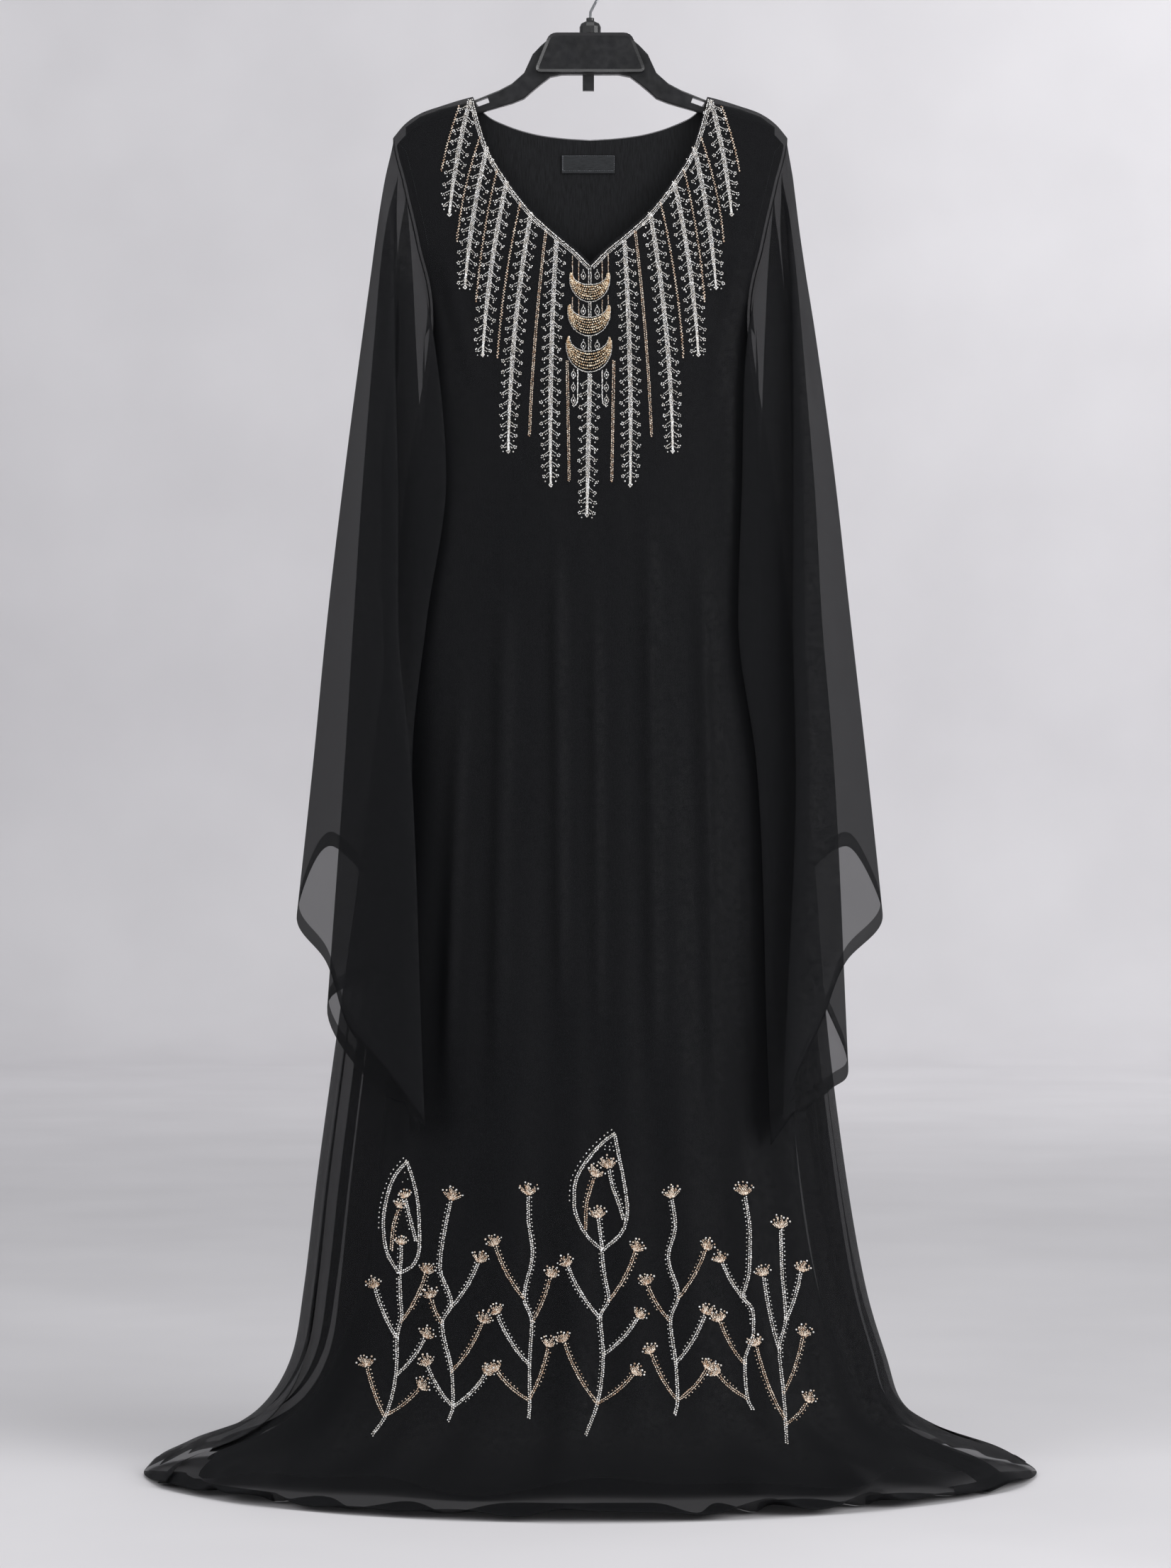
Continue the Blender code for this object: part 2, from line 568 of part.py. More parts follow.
class Sleeve:
    """A wing sleeve: a tube that falls from the armhole in folds, with a slanting cuff."""

    def __init__(self, table, body, side):
        self.body = body
        self.side = side
        self.count = len(table)
        self.starts = np.array([row[1] for row in table])
        self.hems = np.array([row[8] for row in table])
        self.seams = np.array([row[2] for row in table])
        self.layers = np.array([row[9] for row in table])
        self.lines = []
        for row in table:
            gap = ARMHOLE_GAP if row[2] else UNDERARM_GAP
            start_out = float(body.half_width(body.index_at(row[1]), side)) + gap
            self.lines.append(SmoothLine((row[1], *SLEEVE_LEVELS), (start_out, *row[3:8])))

    def ring_weights(self, place):
        """Four neighbouring lines and their Catmull-Rom weights at a place round the tube."""
        first = math.floor(place)
        t = place - first
        weights = (
            0.5 * (-t + 2 * t**2 - t**3),
            0.5 * (2 - 5 * t**2 + 3 * t**3),
            0.5 * (t + 4 * t**2 - 3 * t**3),
            0.5 * (t**3 - t**2),
        )
        return [((first - 1 + k) % self.count, w) for k, w in enumerate(weights)]

    def ring_value(self, values, place):
        """A value given for each line, at a place between them."""
        return sum(values[k] * w for k, w in self.ring_weights(place))

    def line_values(self, k, up):
        """Distance out, forward stand-off, turn and seam depth of one line at a height."""
        drop = np.maximum(self.starts[k] - up, 0.0)
        seam = self.seams[k]
        stand = np.sin(0.5 * math.pi * np.clip(drop / FRONT_TURN, 0.0, 1.0))
        turn = stand if seam < 0 else smoothstep(drop / BACK_TURN)
        spread = LAYER_SPACING * smoothstep(drop / LAYER_OPENING) + FIRST_SPACING * stand
        clearance = SLEEVE_CLEARANCE + SLEEVE_FOLD_CLEARANCE * smoothstep((0.95 - up) / 0.45)
        opening = float(self.body.value("opening", self.body.index_at(self.starts[k])))
        out = self.lines[k](np.minimum(up, self.starts[k]))
        return np.stack(
            [out, clearance + self.layers[k] * spread, turn, np.full_like(up, seam * opening)]
        )

    def point(self, place, up):
        """Points at a place round the tube, at heights; neighbours are read at like heights."""
        start = self.ring_value(self.starts, place)
        hanging = smoothstep((start - up) / ARMHOLE_EASE)
        total = 0.0
        for k, weight in self.ring_weights(place):
            like = up + (self.starts[k] - start) * (1.0 - hanging)
            total = total + weight * self.line_values(k, like)
        out, forward, turn, seam_depth = total
        turn = np.clip(turn, 0.0, 1.0)
        x = self.side * out
        lying = self.body.front_depth(x, up) + forward
        return np.stack([x, seam_depth * (1.0 - turn) - lying * turn, up], axis=-1)

    def ring_point(self, place):
        """Point of the sleeve's seam at the armhole."""
        return self.point(place, np.array([self.ring_value(self.starts, place)]))[0]

    def column(self, before, place, after, rows):
        """Outer and inner points down the tube, the inner ones on the mitre of its bends."""
        start = self.ring_value(self.starts, place)
        hem = self.ring_value(self.hems, place)
        up = start + (hem - start) * np.linspace(0.0, 1.0, rows) ** SLEEVE_ROW_EASE
        outer = self.point(place, up)
        down = self.point(place, up - SLEEVE_DROP) - self.point(place, up + SLEEVE_DROP)
        first = self.side * unit(np.cross(outer - self.point(before, up), down))
        second = self.side * unit(np.cross(self.point(after, up) - outer, down))
        across = np.array((1.0, 0.0, 0.0))
        first[0] = unit(np.cross(outer[0] - self.ring_point(before), across))
        second[0] = unit(np.cross(self.ring_point(after) - outer[0], across))
        middle = unit(first + second)
        bend = np.sum(middle * second, axis=-1, keepdims=True)
        return outer, outer - middle * SLEEVE_WALL / np.maximum(bend, MITRE_LIMIT)


def build_sleeve(name, table, body, side):
    """One wing sleeve with an open cuff."""
    sleeve = Sleeve(table, body, side)
    places = [k + t for k in range(sleeve.count) for t in SLEEVE_STEPS]
    around = zip([places[-1] - sleeve.count, *places], places, [*places[1:], sleeve.count + places[0]])
    columns = [sleeve.column(before, at, after, SLEEVE_ROWS) for before, at, after in around]
    outer = np.array([column[0] for column in columns])
    inner = np.array([column[1] for column in columns])
    wall_object(name, outer, inner, True, GEORGETTE)


class Surface:
    """A built panel, for laying other pieces on it."""

    def __init__(self, name, side):
        mesh = bpy.data.objects[name].data
        self.tree = BVHTree.FromPolygons(
            [v.co for v in mesh.vertices], [tuple(p.vertices) for p in mesh.polygons]
        )
        self.side = side

    def point(self, x, up, height):
        """A point at a height over the panel, straight in front of it."""
        start = Vector((x, 0.0 if self.side > 0 else -1.0, up))
        hit = self.tree.ray_cast(start, Vector((0.0, 1.0, 0.0)))[0]
        return np.array((x, hit.y - height, up))


def sewn_strip(name, surface, rows, heights, finish):
    """A strip lying on a panel. Each row crosses the strip and gives (x, up) of its points."""
    outer = [[surface.point(x, up, h) for (x, up), h in zip(row, heights)] for row in rows]
    inner = [[surface.point(x, up, SEWN_GAP) for x, up in row] for row in rows]
    wall_object(name, np.array(outer), np.array(inner), False, finish)


def build_crescent(name, horns_up, half_width, drop, breadth, surface):
    """One crescent with its horns up, domed across its band."""
    domed = SEWN_GAP + CRESCENT_HEIGHT
    heights = (SEWN_EDGE, domed, domed, SEWN_EDGE)
    rows = []
    for angle in np.radians(np.linspace(-CRESCENT_TURN, CRESCENT_TURN, CRESCENT_STEPS + 1)):
        row = []
        for share in CRESCENT_ACROSS:
            reach = half_width * (1.0 - CRESCENT_NARROWING * share)
            depth = drop - breadth * share
            row.append((reach * math.sin(angle), horns_up - depth * math.cos(angle)))
        rows.append(row)
    sewn_strip(name, surface, rows, heights, BEADWORK)


def build_edging(surface):
    """The double row of beads along the V neck, as one domed strip, mitred at the point."""
    heights = (SEWN_EDGE, SEWN_GAP + EDGING_HEIGHT, SEWN_GAP + EDGING_HEIGHT, SEWN_EDGE)
    rows = []
    for share in np.linspace(-1.0, 1.0, 2 * EDGING_STEPS + 1):
        out = abs(share) * EDGING_OUT
        up = float(front_neck_up(out))
        beyond = Vector((EDGING_STRIDE, float(front_neck_up(out + EDGING_STRIDE)) - up))
        run = beyond.normalized()
        row = []
        for across in EDGING_ACROSS:
            inset = EDGING_INSET + across * EDGING_WIDTH
            if share == 0.0:
                row.append((0.0, up - inset / run.x))
            else:
                row.append((math.copysign(out + inset * run.y, share), up - inset * run.x))
        rows.append(row)
    sewn_strip("neck_edging", surface, rows, heights, BEADWORK)


def build_label(surface):
    """The woven label, left bare, lying on the lining of the back."""
    xs = LABEL_MIDDLE + LABEL_WIDTH * np.linspace(-0.5, 0.5, LABEL_STEPS + 1)
    rows = [[(x, LABEL_TOP_UP), (x, LABEL_TOP_UP - LABEL_HEIGHT)] for x in xs]
    top = SEWN_GAP + LABEL_THICKNESS
    sewn_strip("label", surface, rows, (top, top), LABEL)


def build_arms():
    """The moulded hub and arms, slotted near the neck for straps."""
    right = np.array(HANGER_SECTIONS)
    left = right[:0:-1] * (-1.0, 1.0, 1.0, 1.0)
    mesh = bmesh.new()
    loops = []
    for out, top, bottom, half in np.concatenate([left, right]):
        c = HANGER_CHAMFER
        outline = (
            (-half + c, top), (half - c, top), (half, top - c), (half, bottom + c),
            (half - c, bottom), (-half + c, bottom), (-half, bottom + c), (-half, top - c),
        )
        loops.append([mesh.verts.new((out, y, up)) for y, up in outline])
    skin_loops(mesh, loops)
    arms = bmesh_object("hanger_arms", mesh, HANGER_PLASTIC)
    for name, side in (("slot_cutter_left", -1), ("slot_cutter_right", 1)):
        cutter = box_object(name, SLOT_SIZE, (side * SLOT_OUT, 0.0, SLOT_UP), HANGER_PLASTIC)
        cutter.rotation_euler.y = side * math.radians(SLOT_TILT)
        cutter.hide_render = True
        cutter.display_type = "WIRE"
        cut = arms.modifiers.new(name, "BOOLEAN")
        cut.operation = "DIFFERENCE"
        cut.solver = "EXACT"
        cut.object = cutter


def skin_loops(mesh, loops):
    """Join loops of points one after another and close both ends."""
    for first, second in zip(loops, loops[1:]):
        count = len(first)
        for i in range(count):
            k = (i + 1) % count
            mesh.faces.new((first[i], first[k], second[k], second[i]))
    mesh.faces.new(loops[0])
    mesh.faces.new(loops[-1])


def box_object(name, size, middle, finish):
    """A plain box about a middle point, given at a height above the floor."""
    mesh = bmesh.new()
    bmesh.ops.create_cube(mesh, size=1.0)
    bmesh.ops.scale(mesh, vec=size, verts=mesh.verts)
    box = bmesh_object(name, mesh, finish)
    box.location = Vector(middle) - Vector((0.0, 0.0, HOOK_CROWN_UP))
    return box


def build_plate():
    """The raised front plate of the hub, a trapezoid with a rim and rounded corners."""
    corners = [
        Vector((-PLATE_BOTTOM_HALF, PLATE_BOTTOM_UP)), Vector((PLATE_BOTTOM_HALF, PLATE_BOTTOM_UP)),
        Vector((PLATE_TOP_HALF, PLATE_TOP_UP)), Vector((-PLATE_TOP_HALF, PLATE_TOP_UP)),
    ]
    outline = []
    for k, corner in enumerate(corners):
        before = (corners[k - 1] - corner).normalized() * PLATE_CORNER
        after = (corners[(k + 1) % 4] - corner).normalized() * PLATE_CORNER
        for t in np.linspace(0.0, 1.0, PLATE_CORNER_STEPS + 1):
            outline.append(corner + before * (1.0 - t) ** 2 + after * t**2)
    back = -HANGER_SECTIONS[0][3] - SEWN_GAP
    mesh = bmesh.new()
    loops = [
        [mesh.verts.new((p.x, y, p.y)) for p in outline] for y in (back, back - PLATE_THICKNESS)
    ]
    skin_loops(mesh, loops)
    mesh.faces.ensure_lookup_table()
    mesh.normal_update()
    front = mesh.faces[-1]
    bmesh.ops.recalc_face_normals(mesh, faces=mesh.faces)
    bmesh.ops.inset_individual(mesh, faces=[front], thickness=PLATE_RIM)
    bmesh.ops.translate(mesh, vec=(0.0, PLATE_RECESS, 0.0), verts=front.verts)
    bmesh_object("hanger_plate", mesh, HANGER_PLASTIC)


def build_boss():
    """The domed boss that holds the hook, turned about the hanger's middle."""
    mesh = bmesh.new()
    turns = np.linspace(0.0, 2.0 * math.pi, BOSS_STEPS, endpoint=False)
    loops = [
        [mesh.verts.new((r * math.cos(a), r * math.sin(a), up)) for a in turns]
        for r, up in BOSS_PROFILE
    ]
    skin_loops(mesh, loops)
    bmesh_object("hanger_boss", mesh, HANGER_PLASTIC)


def build_hook():
    """The hook: a bent round wire that rises from the boss and turns over the rail."""
    centre_up = HOOK_CROWN_UP + HOOK_WIRE_RADIUS - HOOK_RADIUS
    arc = np.radians(np.linspace(HOOK_ARC_START, HOOK_ARC_END, HOOK_ARC_STEPS + 1))
    bend = [(HOOK_RADIUS * math.cos(a), centre_up + HOOK_RADIUS * math.sin(a)) for a in arc]
    path = np.array([*HOOK_STEM, *bend])
    along = unit(np.gradient(path, axis=0))
    along[0] = (0.0, 1.0)
    mesh = bmesh.new()
    turns = np.linspace(0.0, 2.0 * math.pi, HOOK_WIRE_SIDES, endpoint=False)
    loops = []
    for (x, up), (run, rise) in zip(path, along):
        loop = []
        for a in turns:
            sideways = HOOK_WIRE_RADIUS * math.cos(a)
            depth = HOOK_WIRE_RADIUS * math.sin(a)
            loop.append(mesh.verts.new((x + rise * sideways, depth, up - run * sideways)))
        loops.append(loop)
    skin_loops(mesh, loops)
    bmesh_object("hook", mesh, HOOK_STEEL)


def main():
    clear_scene()
    anchor = bpy.data.objects.new("hanging_point", None)
    bpy.context.collection.objects.link(anchor)
    body = Tube(BODY_SECTIONS, HEM_FLATNESS)
    lining = Tube(LINING_SECTIONS, SECTION_FLATNESS)
    build_body(body)
    build_lining(lining)
    build_sleeve("sleeve_left", LEFT_SLEEVE, body, -1)
    build_sleeve("sleeve_right", RIGHT_SLEEVE, body, 1)
    front = Surface("front_panel", -1)
    for crescent in CRESCENTS:
        build_crescent(*crescent, front)
    build_edging(front)
    build_label(Surface("lining_back", 1))
    build_arms()
    build_plate()
    build_boss()
    clip_up = CLIP_TOP_UP - 0.5 * CLIP_SIZE[2]
    box_object("hanger_clip", CLIP_SIZE, (CLIP_MIDDLE, 0.0, clip_up), HANGER_PLASTIC)
    build_hook()


main()
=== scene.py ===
# %% [markdown]
# # A beaded black kaftan on a hanger
# The real garment is a long, sheer georgette kaftan with wing sleeves and a shorter satin lining,
# worked with glass beads round the neck and above the hem. It hangs on a moulded hanger, and its
# hem trails on the floor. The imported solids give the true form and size; this script dresses
# them. Every height called "up" is measured from the floor, and "out" from the garment's middle.

# %% Load the solids and note their box
import math

import bpy
import numpy as np
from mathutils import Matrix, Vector
from mathutils.bvhtree import BVHTree


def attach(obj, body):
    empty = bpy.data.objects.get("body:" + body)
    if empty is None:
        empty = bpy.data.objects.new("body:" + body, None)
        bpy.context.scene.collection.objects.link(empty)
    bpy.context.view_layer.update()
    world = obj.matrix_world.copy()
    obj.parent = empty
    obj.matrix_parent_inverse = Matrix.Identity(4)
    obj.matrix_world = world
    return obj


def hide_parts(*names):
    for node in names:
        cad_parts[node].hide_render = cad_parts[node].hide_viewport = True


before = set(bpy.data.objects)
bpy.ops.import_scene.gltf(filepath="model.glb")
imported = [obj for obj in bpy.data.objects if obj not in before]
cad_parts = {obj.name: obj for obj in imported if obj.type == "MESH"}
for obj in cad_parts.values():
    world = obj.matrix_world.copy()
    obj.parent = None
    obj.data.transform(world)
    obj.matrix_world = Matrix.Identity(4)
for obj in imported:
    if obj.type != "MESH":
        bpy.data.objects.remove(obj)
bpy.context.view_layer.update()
HOOK_CROWN_UP = 1.605
print("solids:", ", ".join(sorted(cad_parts)))

# %% [markdown]
# ## Camera
# The photograph is taken level with the middle of the skirt and from far back, as fashion
# pictures are, so that the shoulders and the hem keep their true proportions. A long lens does
# that. The sensor's long side is the height here, because the picture is upright.

# %% Camera
PICTURE = (1652, 2213)
FOCAL_PIXELS = 6000.0
CAMERA_BACK = 4.5
CAMERA_OUT = -0.005
CAMERA_UP = 0.730

camera = bpy.data.objects.new("camera", bpy.data.cameras.new("camera"))
bpy.context.scene.collection.objects.link(camera)
camera.location = (CAMERA_OUT, -CAMERA_BACK, CAMERA_UP - HOOK_CROWN_UP)
camera.rotation_euler = (math.radians(90), 0, 0)
camera.data.sensor_width = 36
camera.data.lens = FOCAL_PIXELS / PICTURE[1] * camera.data.sensor_width
bpy.context.scene.camera = camera
bpy.context.scene.view_settings.view_transform = "Standard"
print(f"lens {camera.data.lens:.1f} mm")

# %% [markdown]
# ## Colours
# Colours are picked in the usual sRGB hex form, which is spaced for the eye. Blender's sockets want
# linear light. Each could be worked out by hand, but one function turns them all, so that the
# script keeps every colour as it was picked.

# %% Colours in linear light
def hex_colour(text):
    """Linear RGBA from an sRGB hex colour."""
    channels = [int(text[k : k + 2], 16) / 255 for k in (1, 3, 5)]
    return (*[c / 12.92 if c <= 0.04045 else ((c + 0.055) / 1.055) ** 2.4 for c in channels], 1.0)


print("middle grey in linear light:", round(hex_colour("#808080")[0], 3))

# %% [markdown]
# ## Georgette
# The kaftan's outer cloth is polyester georgette: hard-twisted crepe yarns, woven open. The
# twist leaves a fine pebbled surface with no shine, and the open weave lets about a quarter of
# the light through each layer. So one layer looks mid grey against a pale wall and two look dark.
# The holes could be cut by a texture, but they are too fine to see. A constant alpha gives the
# same look, because layers then darken one another as real ones do.

# %% Georgette
GEORGETTE_COVER = 0.76


def new_finish(name, sockets):
    """A material with its Principled shader's sockets set."""
    finish = bpy.data.materials.new(name)
    finish.use_nodes = True
    shader = finish.node_tree.nodes["Principled BSDF"]
    for socket, value in sockets.items():
        shader.inputs[socket].default_value = value
    return finish


georgette = new_finish(
    "black georgette",
    {
        "Alpha": GEORGETTE_COVER,
        "Roughness": 0.7,
        "IOR": 1.5,
        "Specular IOR Level": 0.15,
    },
)
one, two = (1.0 - GEORGETTE_COVER), (1.0 - GEORGETTE_COVER) ** 2
print(f"light through one layer {one:.0%}, through two {two:.0%}")

# %% [markdown]
# ## The grain of a surface
# No real surface is even: yarns, moulding and polish all leave a grain of some size. It could come
# from a photograph of the cloth, but a noise texture needs no file and never repeats. One function
# adds a node with its settings and links. A second one uses it to let a noise of a real size vary
# the colour, the roughness or the relief. The crepe's pebbles are about 0.4 mm; they are drawn
# 1.2 mm wide, so that they show.

# %% The grain of georgette
NOISE_LOW = 0.3
NOISE_HIGH = 0.7
PEBBLE = 0.0012
WORN_PATCH = 0.006


def add_node(finish, kind, settings, sockets):
    """Add a node; a socket is given a number, a colour, or another node's output to link."""
    tree = finish.node_tree
    node = tree.nodes.new("ShaderNode" + kind)
    for name, value in settings.items():
        setattr(node, name, value)
    for name, value in sockets.items():
        if isinstance(value, bpy.types.NodeSocket):
            tree.links.new(value, node.inputs[name])
        else:
            node.inputs[name].default_value = value
    return node


def add_grain(finish, size, colours=(), roughness=(), relief=(), stretch=(1, 1, 1), detail=2.0):
    """Vary a finish by a noise whose grain is about a size in metres.

    Colour and roughness go between two values; relief is a rise in metres and its strength.
    """
    tree = finish.node_tree
    shader = tree.nodes["Principled BSDF"]
    places = add_node(finish, "TexCoord", {}, {})
    spread = add_node(finish, "Mapping", {}, {"Vector": places.outputs["Object"], "Scale": stretch})
    sockets = {"Vector": spread.outputs[0], "Scale": 1 / size, "Detail": detail}
    noise = add_node(finish, "TexNoise", {}, sockets).outputs["Fac"]
    span = {"Value": noise, "From Min": NOISE_LOW, "From Max": NOISE_HIGH}
    if colours:
        share = add_node(finish, "MapRange", {}, {**span, "To Min": 0.0, "To Max": 1.0}).outputs[0]
        sockets = {0: share, 6: hex_colour(colours[0]), 7: hex_colour(colours[1])}
        mixed = add_node(finish, "Mix", {"data_type": "RGBA"}, sockets)
        tree.links.new(mixed.outputs[2], shader.inputs["Base Color"])
    if roughness:
        sockets = {**span, "To Min": roughness[0], "To Max": roughness[1]}
        rough = add_node(finish, "MapRange", {}, sockets)
        tree.links.new(rough.outputs[0], shader.inputs["Roughness"])
    if relief:
        sockets = {"Height": noise, "Distance": relief[0], "Strength": relief[1]}
        bumps = add_node(finish, "Bump", {}, sockets)
        tree.links.new(bumps.outputs[0], shader.inputs["Normal"])


add_grain(georgette, PEBBLE, colours=("#08080a", "#131417"), relief=(0.0003, 0.5))
add_grain(georgette, WORN_PATCH, roughness=(0.6, 0.78))
print("nodes in georgette:", len(georgette.node_tree.nodes))

# %% [markdown]
# ## Lining
# The lining is a polyester satin, opaque and a little smoother than the georgette over it. Its
# long floats run down the cloth, so its sheen breaks into fine upright streaks. A noise stretched
# along the height gives them: in the roughness and the relief they are real, and in the colour
# the paler streaks are painted sheen. Yarns are about 0.15 mm apart; the streaks are drawn 1 mm
# wide and 12 mm long, so that they show.

# %% Lining
STREAK_WIDTH = 0.001
STREAK_SHARE = 0.08
satin = new_finish(
    "black satin lining",
    {"Roughness": 0.5, "IOR": 1.5, "Specular IOR Level": 0.22},
)
# The paler colour of the streaks is painted sheen; their roughness and relief are real.
add_grain(
    satin,
    STREAK_WIDTH,
    colours=("#0a0a0c", "#131417"),
    roughness=(0.42, 0.58),
    relief=(0.0002, 0.3),
    stretch=(1, 1, STREAK_SHARE),
)
print(f"streaks of {1000 * STREAK_WIDTH:.0f} by {1000 * STREAK_WIDTH / STREAK_SHARE:.0f} mm")

# %% [markdown]
# ## Smooth curves through a few measurements
# A pattern cutter measures a garment at a few heights and draws a fair curve between them. The
# class below does the same. Straight lines would leave corners, and a plain spline would swing
# past the values, so it runs a curve that never overshoots them and a widening skirt stays smooth.

# %% Smooth curves
class SmoothLine:
    """A curve through table values that never overshoots them."""

    def __init__(self, places, values):
        order = np.argsort(places)
        self.x = np.asarray(places, float)[order]
        self.y = np.asarray(values, float)[order]
        self.step = np.diff(self.x)
        slope = np.diff(self.y) / self.step
        tangent = np.concatenate(([slope[0]], 0.5 * (slope[1:] + slope[:-1]), [slope[-1]]))
        tangent[1:-1][slope[1:] * slope[:-1] <= 0.0] = 0.0
        limit = 3.0 * np.minimum(np.abs(slope[1:]), np.abs(slope[:-1]))
        tangent[1:-1] = np.clip(tangent[1:-1], -limit, limit)
        self.tangent = tangent

    def __call__(self, place):
        p = np.asarray(place, float)
        inside = np.clip(p, self.x[0], self.x[-1])
        i = np.clip(np.searchsorted(self.x, inside) - 1, 0, len(self.step) - 1)
        h = self.step[i]
        t = (inside - self.x[i]) / h
        first = (2 * t**3 - 3 * t**2 + 1) * self.y[i] + (t**3 - 2 * t**2 + t) * h * self.tangent[i]
        last = (3 * t**2 - 2 * t**3) * self.y[i + 1] + (t**3 - t**2) * h * self.tangent[i + 1]
        beyond = np.where(p < self.x[0], self.tangent[0], self.tangent[-1]) * (p - inside)
        return first + last + beyond


level = SmoothLine((0, 1, 2), (0.0, 1.0, 1.0))(1.5)
print("halfway along a level stretch the curve stays at", round(float(level), 3))

# %% [markdown]
# ## Neckline and shoulders
# The upper edge comes first: the shoulder seam, and the necklines of the front and the back. Each
# is a few points of (out, up) that a smooth curve joins. They are the same points that the solids
# are built from, so the cloth ends where theirs does.

# %% Neckline and shoulders
NECK_OUT = 0.124
SHOULDER_LINE = (
    (0.000, 1.4700), (0.100, 1.4620), (0.130, 1.4560), (0.158, 1.4475),
    (0.181, 1.4390), (0.1965, 1.4280), (0.2055, 1.4175), (0.2120, 1.4090),
)
FRONT_NECKLINE = (
    (0.0000, 1.2795), (0.0165, 1.2960), (0.0376, 1.3134), (0.0633, 1.3372),
    (0.0880, 1.3695), (0.1090, 1.4060), (0.1190, 1.4380), (0.1240, 1.4575),
)
BACK_NECKLINE = (
    (0.0000, 1.4135), (0.0300, 1.4155), (0.0600, 1.4200), (0.0900, 1.4295),
    (0.1100, 1.4400), (0.1190, 1.4500), (0.1240, 1.4575),
)
shoulder_up = SmoothLine(*zip(*SHOULDER_LINE))
front_neck_up = SmoothLine(*zip(*FRONT_NECKLINE))
back_neck_up = SmoothLine(*zip(*BACK_NECKLINE))
print(f"the V reaches {float(back_neck_up(0.0) - front_neck_up(0.0)):.3f} m below the back neckline")

# %% [markdown]
# ## The body's measurements
# Below its edge the body is measured as level sections. These are the same ones that the solids
# are built from, so the cloth lies exactly where the solids say. Each row gives a height, the
# half-width on the left and on the right, the depth in front and behind, and half of the opening
# at the armhole.

# %% The body's measurements
BODY_SECTIONS = (
    (1.470, 0.2085, 0.2085, 0.0120, 0.0110, 0.0100),
    (1.414, 0.2085, 0.2085, 0.0130, 0.0120, 0.0100),
    (1.363, 0.1980, 0.1980, 0.0165, 0.0145, 0.0100),
    (1.301, 0.1840, 0.1840, 0.0210, 0.0175, 0.0090),
    (1.220, 0.1700, 0.1700, 0.0270, 0.0220, 0.0000),
    (1.050, 0.1940, 0.1940, 0.0390, 0.0310, 0.0000),
    (0.850, 0.2185, 0.2170, 0.0540, 0.0430, 0.0000),
    (0.650, 0.2430, 0.2370, 0.0710, 0.0570, 0.0000),
    (0.480, 0.2660, 0.2500, 0.0880, 0.0710, 0.0000),
    (0.320, 0.2880, 0.2700, 0.1060, 0.0860, 0.0000),
    (0.200, 0.3025, 0.2910, 0.1210, 0.0990, 0.0000),
    (0.125, 0.3160, 0.3130, 0.1350, 0.1110, 0.0000),
    (0.075, 0.3450, 0.3310, 0.1540, 0.1260, 0.0000),
    (0.045, 0.3880, 0.3730, 0.1820, 0.1450, 0.0000),
    (0.022, 0.4500, 0.4380, 0.2310, 0.1750, 0.0000),
    (0.003, 0.4720, 0.4720, 0.3020, 0.2150, 0.0000),
)
waist = min(BODY_SECTIONS, key=lambda row: row[1] + row[2])
print(f"narrowest {waist[0]:.2f} m up, where it is {waist[1] + waist[2]:.2f} m wide")

# %% [markdown]
# ## Long folds
# Cloth that hangs from the shoulders falls in long soft folds that grow towards the hem. A cloth
# simulation could make them, but folds given one by one follow the photograph and come out the
# same each time. Each is a smooth ridge with a place and a breadth in degrees round the section,
# and a height at the chest, the knee and the hem.

# %% Long folds
FRONT_FOLDS = (
    (-66, 8, 0.000, 0.004, 0.008), (-47, 7, 0.001, 0.009, 0.012), (-30, 5, 0.000, 0.004, 0.007),
    (-17, 6, 0.001, 0.009, 0.010), (-3, 4, 0.001, 0.006, 0.012), (8, 5, 0.001, 0.008, 0.007),
    (21, 6, 0.001, 0.010, 0.009), (36, 5, 0.000, 0.006, 0.013), (50, 7, 0.001, 0.008, 0.010),
    (68, 7, 0.000, 0.004, 0.012),
)
BACK_FOLDS = (
    (-63, 8, 0.001, 0.005, 0.010), (-42, 7, 0.001, 0.010, 0.014), (-21, 6, 0.001, 0.008, 0.011),
    (-4, 6, 0.002, 0.011, 0.015), (15, 5, 0.001, 0.007, 0.010), (33, 7, 0.001, 0.010, 0.014),
    (58, 8, 0.001, 0.006, 0.011),
)
# Heights of the chest, the waist, the knee and the hem
FOLD_LEVELS = (1.30, 0.95, 0.45, 0.05)


def smoothstep(value):
    """Ease from 0 to 1 with level ends."""
    t = np.clip(value, 0.0, 1.0)
    return t * t * (3.0 - 2.0 * t)


def fold_height(angle, up, folds):
    """Height of the fold ridges over the bare section."""
    chest, waist, knee, hem = FOLD_LEVELS
    low = smoothstep((waist - up) / (waist - knee))
    floor = smoothstep((knee - up) / (knee - hem))
    start = smoothstep((chest - up) / (chest - waist))
    degrees = np.degrees(angle)
    total = np.zeros_like(degrees + up)
    for place, breadth, at_chest, at_knee, at_hem in folds:
        height = at_chest * start + (at_knee - at_chest) * low + (at_hem - at_knee) * floor
        total += height * np.exp(-(((degrees - place) / breadth) ** 2))
    return total * np.maximum(np.cos(angle), 0.0) ** 0.5


at_hem = fold_height(np.radians(np.arange(-70.0, 71.0)), FOLD_LEVELS[-1], FRONT_FOLDS)
print(f"the front's folds stand up to {1000 * at_hem.max():.0f} mm at the hem")

# %% [markdown]
# ## Pleats at the sides
# At the sides the cloth laps over itself in flat pleats, three layers deep, and those make the
# dark and light streaks that the sheer skirt shows there. A ridge can't give them, because the
# cloth has to run back under itself. So each pleat shifts the cloth round the section, and sets
# the shifted layers apart.

